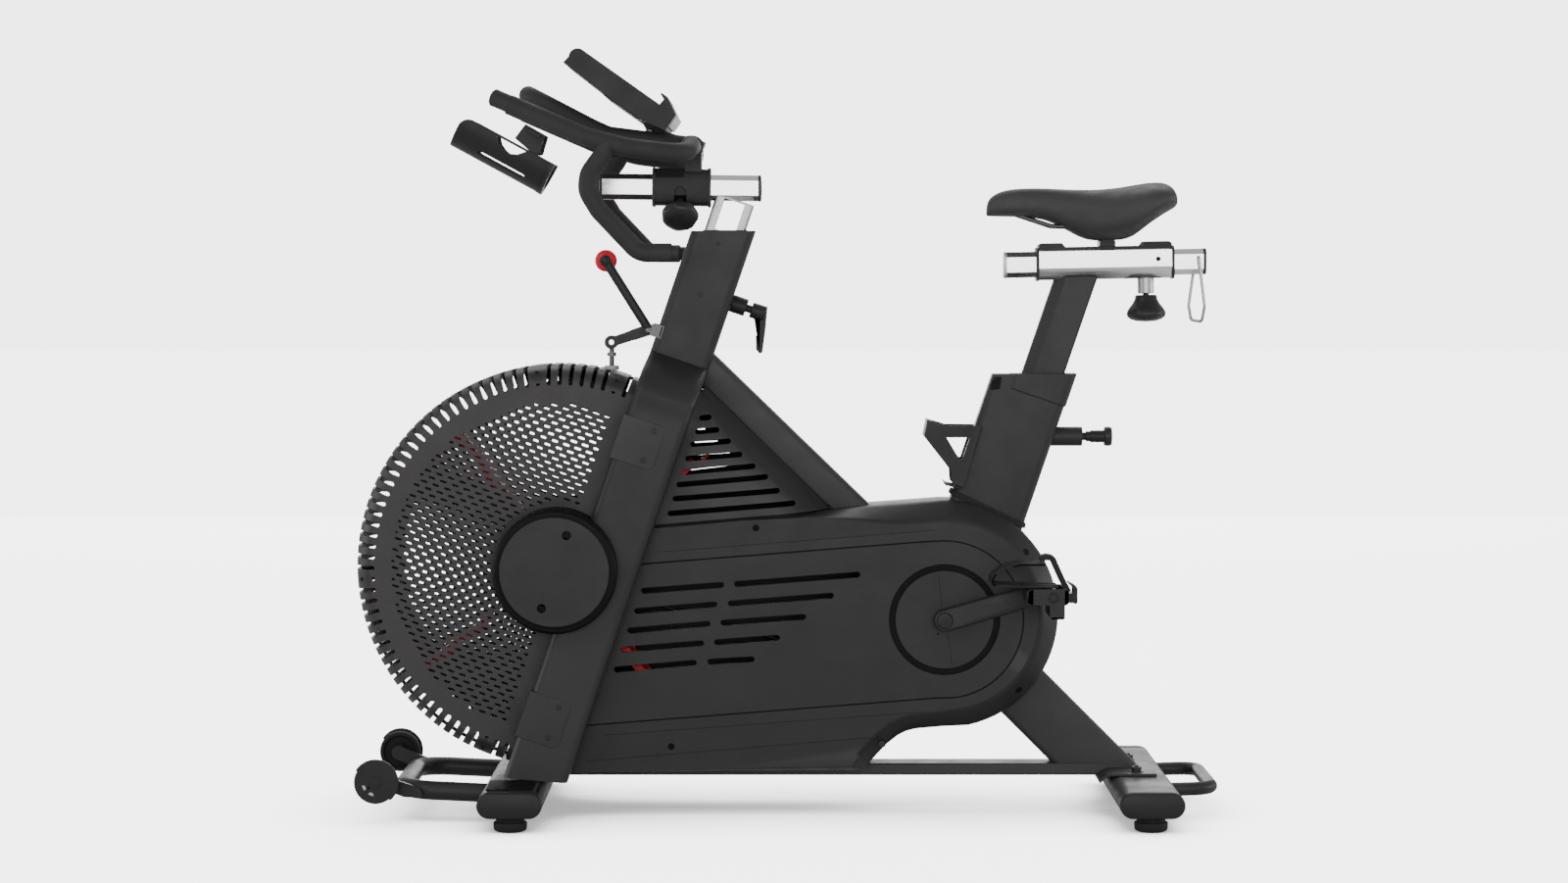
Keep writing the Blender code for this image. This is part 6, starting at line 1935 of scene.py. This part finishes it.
def arm(side):
    """Forged arm: tapered and crowned, with a round boss and a rounded pedal end."""
    end = Vector(pedal_centre(side))
    angle = CRANK_ANGLE if side < 0 else CRANK_ANGLE + 180.0
    run = (end - Vector(CRANK)).normalized()
    across = Vector((-run.y, run.x))
    edge = arc(CRANK, 0.0168, angle + 90, angle + 180, 10)
    widths = ((0.30, 0.0170), (0.60, 0.0165), (0.80, 0.0140), (0.93, 0.0126))
    upper = [Vector(CRANK) + run * CRANK_LENGTH * share + across * half
             for share, half in reversed(widths)]
    lower = [Vector(CRANK) + run * CRANK_LENGTH * share - across * half for share, half in widths]
    outline = [tuple(point) for point in upper] + edge
    outline += arc(CRANK, 0.0168, angle + 180, angle + 270, 10)[1:]
    outline += [tuple(point) for point in lower] + arc(end, 0.0125, angle - 80, angle + 80, 14)
    rings = []
    for share, y in ((0.90, 0.0902), (1.0, 0.0915), (1.0, 0.1015), (0.94, 0.1040), (0.86, 0.1048)):
        ring = []
        for x, z in outline:
            along = (Vector((x, z)) - Vector(CRANK)).dot(run)
            along = max(0.0, min(CRANK_LENGTH, along))
            spine = Vector(CRANK) + run * along
            point = spine + (Vector((x, z)) - spine) * share
            ring.append((point.x, side * y, point.y))
        rings.append(ring)
    bm = loft(rings)
    hole = turned(pin_profile(0.0123, 0.2),
                  (CRANK[0], 0.0, CRANK[1]), (0, 1, 0), 32)
    return carve(bm, hole)


def spindle(side):
    end = pedal_centre(side)
    return rod((end[0], side * 0.1046, end[1]), (end[0], side * 0.2000, end[1]), 0.0068, 24)


def crank_cap(side):
    """Dust cap in the arm's boss."""
    return turned([(0.0, 0.1010), (0.0118, 0.1010), (0.0118, 0.1052), (0.0108, 0.1062),
                   (0.0060, 0.1066), (0.0, 0.1066)],
                  (CRANK[0], 0.0, CRANK[1]), (0, side, 0), 40)


def pedal_body(side):
    """Platform pedal: spindle barrel, inner and outer plates, cross bars and ribbed lower block."""
    x, z = pedal_centre(side)
    parts = []

    def plate(points, inner, outer):
        low, high = sorted((side * inner, side * outer))
        parts.append(slab([(x + dx, z + dz) for dx, dz in points], low, high))

    end = [(-0.0400, -0.0060), (-0.0380, -0.0110), (-0.0060, -0.0118), (-0.0060, -0.0300),
           (-0.0035, -0.0330), (0.0100, -0.0330), (0.0170, -0.0325), (0.0170, -0.0118),
           (0.0215, -0.0100), (0.0230, -0.0060), (0.0230, 0.0090), (0.0205, 0.0118),
           (0.0060, 0.0126), (-0.0330, 0.0126), (-0.0380, 0.0100)]
    plate(end, 0.1150, 0.1210)
    plate(end, 0.2080, 0.2145)
    plate([(-0.0400, -0.0080), (-0.0340, -0.0110), (-0.0300, -0.0110), (-0.0300, 0.0125),
           (-0.0340, 0.0125), (-0.0400, 0.0090)], 0.1150, 0.2145)
    plate([(0.0160, -0.0110), (0.0215, -0.0105), (0.0230, -0.0060), (0.0230, 0.0090),
           (0.0200, 0.0120), (0.0160, 0.0122)], 0.1150, 0.2145)
    plate([(-0.0040, -0.0330), (0.0150, -0.0330), (0.0150, -0.0290), (-0.0040, -0.0290)], 0.1150,
          0.2145)
    for offset in (-0.0025, 0.0035, 0.0095):
        plate([(offset, -0.0300), (offset + 0.0028, -0.0300), (offset + 0.0028, -0.0100),
               (offset, -0.0100)],
              0.1200, 0.2100)
    barrel = turned([(0.0074, 0.1150), (0.0118, 0.1150), (0.0110, 0.1300), (0.0102, 0.1650),
                     (0.0110, 0.2000), (0.0118, 0.2140),
                     (0.0074, 0.2140)], (x, 0.0, z), (0, side, 0), 28)
    parts.append(barrel)
    for inner in (0.1380, 0.1610, 0.1840):
        plate([(-0.0320, -0.0040), (-0.0100, -0.0040), (-0.0100, 0.0040), (-0.0320, 0.0040)],
              inner, inner + 0.0030)
        plate([(0.0100, -0.0040), (0.0180, -0.0040), (0.0180, 0.0040), (0.0100, 0.0040)], inner,
              inner + 0.0030)
    return merge(*parts)


def pedal_caps(side):
    """Round spindle cap and a square fixing beside it."""
    x, z = pedal_centre(side)
    cap = turned([(0.0, 0.2125), (0.0084, 0.2125), (0.0084, 0.2152), (0.0074, 0.2162),
                  (0.0058, 0.2162), (0.0054, 0.2150), (0.0, 0.2150)], (x, 0.0, z), (0, side, 0), 32)
    low, high = sorted((side * 0.2120, side * 0.2152))
    square = slab([(x - 0.0260, z - 0.0040), (x - 0.0180, z - 0.0040), (x - 0.0180, z + 0.0030),
                   (x - 0.0260, z + 0.0030)],
                  low, high)
    return merge(cap, square)


def ribbon(points, thickness, inner, outer, side, corner=0.0080, steps=6):
    """A flat band that follows a rounded XZ path, between two distances from the middle."""
    path = path_points([(px, 0.0, pz) for px, pz in points], corner, steps)
    flat = [(p.x, p.z) for p in path]
    left, right = [], []
    for i, point in enumerate(flat):
        before, after = flat[max(i - 1, 0)], flat[min(i + 1, len(flat) - 1)]
        run = Vector((after[0] - before[0], after[1] - before[1])).normalized()
        across = Vector((-run.y, run.x)) * thickness / 2
        left.append((point[0] + across.x, point[1] + across.y))
        right.append((point[0] - across.x, point[1] - across.y))
    low, high = sorted((side * inner, side * outer))
    return slab(left + list(reversed(right)), low, high)


def from_pedal(side, points):
    """XZ points given from the pedal's axle."""
    x, z = pedal_centre(side)
    return [(x + dx, z + dz) for dx, dz in points]


def toe_clip(side):
    """Toe cage: base plate, side strips over the toe and a nose that curls up."""
    strips = []
    for inner in (0.1290, 0.1560, 0.1830):
        strips.append(ribbon(from_pedal(side, [(0.0080, 0.0145), (-0.0388, 0.0147),
                                               (-0.0919, 0.0176), (-0.0909, 0.0265),
                                 (-0.0848, 0.0354), (-0.0715, 0.0434), (-0.0469, 0.0487),
                                 (-0.0121, 0.0481)]), 0.0022,
                             inner, inner + 0.0170, side, 0.0060))
    nose = ribbon(from_pedal(side, [(-0.0860, 0.0165), (-0.0925, 0.0180), (-0.0912, 0.0265),
                                    (-0.0860, 0.0345)]),
                  0.0030,
                  0.1290, 0.2000, side, 0.0050)
    bridge = ribbon(from_pedal(side, [(-0.0600, 0.0455), (-0.0469, 0.0487), (-0.0121, 0.0481)]),
                    0.0028, 0.1290,
                    0.2000, side)
    return merge(*strips, nose, bridge)


def strap(side):
    """Strap from the pedal's far edge over the toe and down to the buckle."""
    return ribbon(from_pedal(side, [(-0.0180, 0.0555), (-0.0080, 0.0580), (0.0010, 0.0565),
                                    (0.0050, 0.0470), (0.0150, 0.0250),
                      (0.0255, 0.0050)]), 0.0085, 0.1480, 0.1780, side, 0.0070)


def buckle(side):
    """Cast buckle at the strap's lower end, with a raised tab."""
    x, z = pedal_centre(side)
    outline = [(0.0194, 0.0030), (0.0194, -0.0110), (0.0290, -0.0110), (0.0300, -0.0123),
               (0.0345, -0.0123), (0.0358, -0.0100), (0.0358, 0.0110), (0.0330, 0.0150),
               (0.0230, 0.0205), (0.0215, 0.0185), (0.0290, 0.0120), (0.0290, 0.0030)]
    low, high = sorted((side * 0.1450, side * 0.1810))
    return slab([(x + 0.0030 + dx, z + dz) for dx, dz in outline], low, high)


add("axle_rod", rod((CRANK[0], -0.1000, CRANK[1]), (CRANK[0], 0.1000, CRANK[1]), 0.0110, 32),
    "bare_steel", "crank",
    ["crank_axle"])
for side, ending in ((-1, "left"), (1, "right")):
    add(f"arm_{ending}", arm(side), "frame_paint", "crank", [f"crank_arm_{ending}"], angle=32.0,
        bevel=0.0008)
    add(f"pedal_spindle_{ending}", spindle(side), "bare_steel", "crank")
    add(f"crank_cap_{ending}", crank_cap(side), "black_plastic", "crank")
    add(f"platform_{ending}", pedal_body(side), "black_plastic", f"{ending}_pedal",
        [f"pedal_{ending}"], bevel=0.0006)
    add(f"pedal_caps_{ending}", pedal_caps(side), "lever_black", f"{ending}_pedal", bevel=0.0004)
    add(f"toe_clip_{ending}", toe_clip(side), "rubber", f"{ending}_pedal", [f"toe_cage_{ending}"],
        angle=40.0)
    add(f"toe_strap_{ending}", strap(side), "rubber", f"{ending}_pedal", angle=40.0)
    add(f"buckle_{ending}", buckle(side), "lever_black", f"{ending}_pedal", bevel=0.0006)

# ---------------------------------------------------------------- levers
BRAKE_PIVOT = (-0.2150, 0.7480)
BRAKE_EYE = (-0.2734, 0.7285)
BRAKE_GRIP = (-0.2823, 0.8553)
BRAKE_ROD_Y = 0.0110


def brake_crank():
    """Bell crank: round long arm, flat short arm, and an eye for the rod."""
    upper = rod((BRAKE_PIVOT[0], 0.0, BRAKE_PIVOT[1]), (BRAKE_GRIP[0], 0.0, BRAKE_GRIP[1]), 0.0073,
                24)
    outline = []
    run = Vector((BRAKE_EYE[0] - BRAKE_PIVOT[0], BRAKE_EYE[1] - BRAKE_PIVOT[1])).normalized()
    across = Vector((-run.y, run.x))
    for reach, half in ((0.0, 0.0087), (0.0250, 0.0087), (0.0280, 0.0080), (0.0520, 0.0076)):
        point = Vector(BRAKE_PIVOT) + run * reach + across * half
        outline.append((point.x, point.y))
    turn = math.degrees(math.atan2(run.y, run.x))
    outline += arc(BRAKE_EYE, 0.0107, turn + 130, turn - 130, 18)
    for reach, half in ((0.0520, 0.0076), (0.0280, 0.0080), (0.0250, 0.0087), (0.0, 0.0087)):
        point = Vector(BRAKE_PIVOT) + run * reach - across * half
        outline.append((point.x, point.y))
    plate = slab(outline, -0.0040, 0.0040)
    plate = carve(plate, turned(pin_profile(0.0040, 0.1),
                                (BRAKE_EYE[0], 0.0, BRAKE_EYE[1]), (0, 1, 0), 24))
    hub = turned([(0.0043, -0.0060), (0.0088, -0.0060), (0.0088, 0.0060), (0.0043, 0.0060)],
                 (BRAKE_PIVOT[0], 0.0, BRAKE_PIVOT[1]), (0, 1, 0), 28)
    end = turned([(0.0, -0.0085), (0.0060, -0.0085), (0.0086, -0.0068), (0.0088, 0.0),
                  (0.0086, 0.0056), (0.0, 0.0056)],
                 (BRAKE_GRIP[0], 0.0, BRAKE_GRIP[1]), (0, 1, 0), 32)
    return merge(plate, upper, hub, end)


def brake_ball():
    return turned([(0.0, 0.0058), (0.0090, 0.0058), (0.0146, 0.0076), (0.0169, 0.0112),
                   (0.0172, 0.0150), (0.0164, 0.0195), (0.0136, 0.0232), (0.0085, 0.0249),
                   (0.0, 0.0252)],
                  (BRAKE_GRIP[0], 0.0, BRAKE_GRIP[1]), (0, 1, 0), 48)


def side_plates(outline, holes, inner, outer):
    """The same flat plate on both sides of the bike, between two distances from the middle."""
    parts = []
    for side in (-1, 1):
        plate = filled(outline, holes)
        low, high = sorted((side * inner, side * outer))
        thicken(plate, low, high)
        parts.append(plate)
    return parts


def brake_fork():
    """Folded steel bracket: two side plates from the mast to the lever's pin."""
    outline = [(-0.2130, 0.7400), (-0.1955, 0.7346), (-0.1896, 0.7540), (-0.2085, 0.7579)]
    slot = [(-0.1985, 0.7375), (-0.1938, 0.7532), (-0.1918, 0.7527), (-0.1965, 0.7370)]
    return merge(*side_plates(outline, [slot], 0.0332, 0.0352))


add("brake_crank", brake_crank(), "lever_black", "brake_lever", ["brake_lever"], angle=40.0)
add("brake_ball", brake_ball(), "red", "brake_lever", ["brake_knob"], angle=60.0)
add("brake_bracket_plates", brake_fork(), "bolt", "frame", ["brake_bracket"])
add("brake_pin", rod((BRAKE_PIVOT[0], -0.0372, BRAKE_PIVOT[1]),
                     (BRAKE_PIVOT[0], 0.0372, BRAKE_PIVOT[1]), 0.0038, 20),
    "bolt", "frame")


def brake_link():
    """Threaded rod with a lock nut, under the lever's eye."""
    x, y = BRAKE_EYE[0], BRAKE_ROD_Y
    shaft = rod((x, y, 0.6785), (x, y, 0.7215), 0.0039, 20)
    nut = turned([(0.0, 0.0), (0.0070, 0.0), (0.0070, 0.0060), (0.0, 0.0060)], (x, y, 0.7066),
                 (0, 0, 1), 6)
    return merge(shaft, nut)


def grommet():
    """Pale bush where the rod enters the guard."""
    return turned([(0.0066, -0.0030), (0.0110, -0.0030), (0.0118, 0.0), (0.0110, 0.0040),
                   (0.0066, 0.0040)],
                  (BRAKE_EYE[0], BRAKE_ROD_Y, 0.6880), (0, 0, 1), 28)


add("brake_link", brake_link(), "bolt", "brake_rod", ["brake_rod"])
add("brake_grommet", grommet(), "label", "frame")


def ratchet():
    """Clamp lever: threaded boss, stud, hub with an end cap and a thin stepped handle."""
    stud_at = along_mast(0.1020, 0.0)
    axis = (BACK[0], 0.0, BACK[1])
    start = 0.0477
    profile = [(0.0, start), (0.0135, start), (0.0137, start + 0.0008), (0.0137, 0.0710),
               (0.0129, 0.0718), (0.0062, 0.0718), (0.0062, 0.0800), (0.0114, 0.0800),
               (0.0122, 0.0812), (0.0124, 0.1010), (0.0114, 0.1024), (0.0, 0.1026)]
    body = turned(profile, (stud_at[0], 0.0, stud_at[1]), axis, 40)
    hub = along_mast(0.1020, 0.0900)
    outline = [(hub[0] - 0.0050, hub[1]), (hub[0] + 0.0060, hub[1]), (-0.0299, 0.7849),
               (-0.0335, 0.7470), (-0.0382, 0.7122), (-0.0430, 0.7110), (-0.0480, 0.7175),
               (-0.0486, 0.7385), (-0.0444, 0.7413), (-0.0418, 0.7849)]
    return merge(body, slab(outline, -0.0068, 0.0068))


add("ratchet_lever", ratchet(), "lever_black", "clamp_lever", ["clamp_lever"], angle=40.0,
    bevel=0.0012)


# ---------------------------------------------------------------- bottle cage
def cage():
    """Moulded bottle cage: two side plates with a window, front band, back plate and bottom lip."""
    side_line = [(0.2176, 0.6091), (0.2127, 0.5833), (0.2540, 0.5305), (0.2557, 0.5106),
                 (0.2739, 0.5034), (0.3017, 0.5992), (0.2934, 0.5992), (0.2473, 0.5998)]
    hole = [(0.2473, 0.5817), (0.2672, 0.5486), (0.2721, 0.5476), (0.2836, 0.5817)]
    parts = side_plates(side_line, [hole], 0.0340, 0.0380)
    parts.append(slab([(0.2127, 0.5833), (0.2176, 0.6091), (0.2275, 0.6064), (0.2219, 0.5784)],
                      -0.0338, 0.0338))
    parts.append(slab([(0.2739, 0.5034), (0.3010, 0.5980), (0.2975, 0.5990), (0.2704, 0.5044)],
                      -0.0338, 0.0338))
    parts.append(slab([(0.2425, 0.5153), (0.2475, 0.5100), (0.2739, 0.5034), (0.2739, 0.5007),
                       (0.2458, 0.5073)],
                      -0.0338, 0.0338))
    return merge(*parts)


add("cage", cage(), "black_plastic", "frame", ["bottle_cage"], angle=35.0, bevel=0.0006)

# ---------------------------------------------------------------- stage
floor_mesh = bpy.data.meshes.new("floor")
floor_mesh.from_pydata([(-30, -30, 0), (30, -30, 0), (30, 30, 0), (-30, 30, 0)], [], [(0, 1, 2, 3)])
floor = bpy.data.objects.new("floor", floor_mesh)
floor.location.z = -0.0005
bpy.context.scene.collection.objects.link(floor)
floor_mat, floor_tree, floor_shader = new_material("floor")
floor_shader.inputs["Roughness"].default_value = 0.95
floor_shader.inputs["Specular IOR Level"].default_value = 0.1
floor_tree.links.new(ramp(floor_tree, noise(floor_tree, 2.0), grey(0.70), grey(0.72)),
                     floor_shader.inputs["Base Color"])
# The floor glows for camera rays only, and ambient occlusion dims that glow near the bike: a
# painted contact shadow.
painted_contact_shadow = node(floor_tree, "ShaderNodeAmbientOcclusion", Distance=0.30, samples=16)
glow = node(floor_tree, "ShaderNodeMapRange")
glow.inputs["From Min"].default_value = 0.25
glow.inputs["From Max"].default_value = 0.95
glow.inputs["To Min"].default_value = 0.4
glow.inputs["To Max"].default_value = BACKGROUND
floor_tree.links.new(painted_contact_shadow.outputs["AO"], glow.inputs["Value"])
floor_seen = floor_tree.nodes.new("ShaderNodeLightPath")
lit = node(floor_tree, "ShaderNodeMath", operation="MULTIPLY")
floor_tree.links.new(glow.outputs["Result"], lit.inputs[0])
floor_tree.links.new(floor_seen.outputs["Is Camera Ray"], lit.inputs[1])
floor_shader.inputs["Emission Color"].default_value = (1.0, 1.0, 1.0, 1.0)
floor_tree.links.new(lit.outputs[0], floor_shader.inputs["Emission Strength"])
floor_mesh.materials.append(floor_mat)
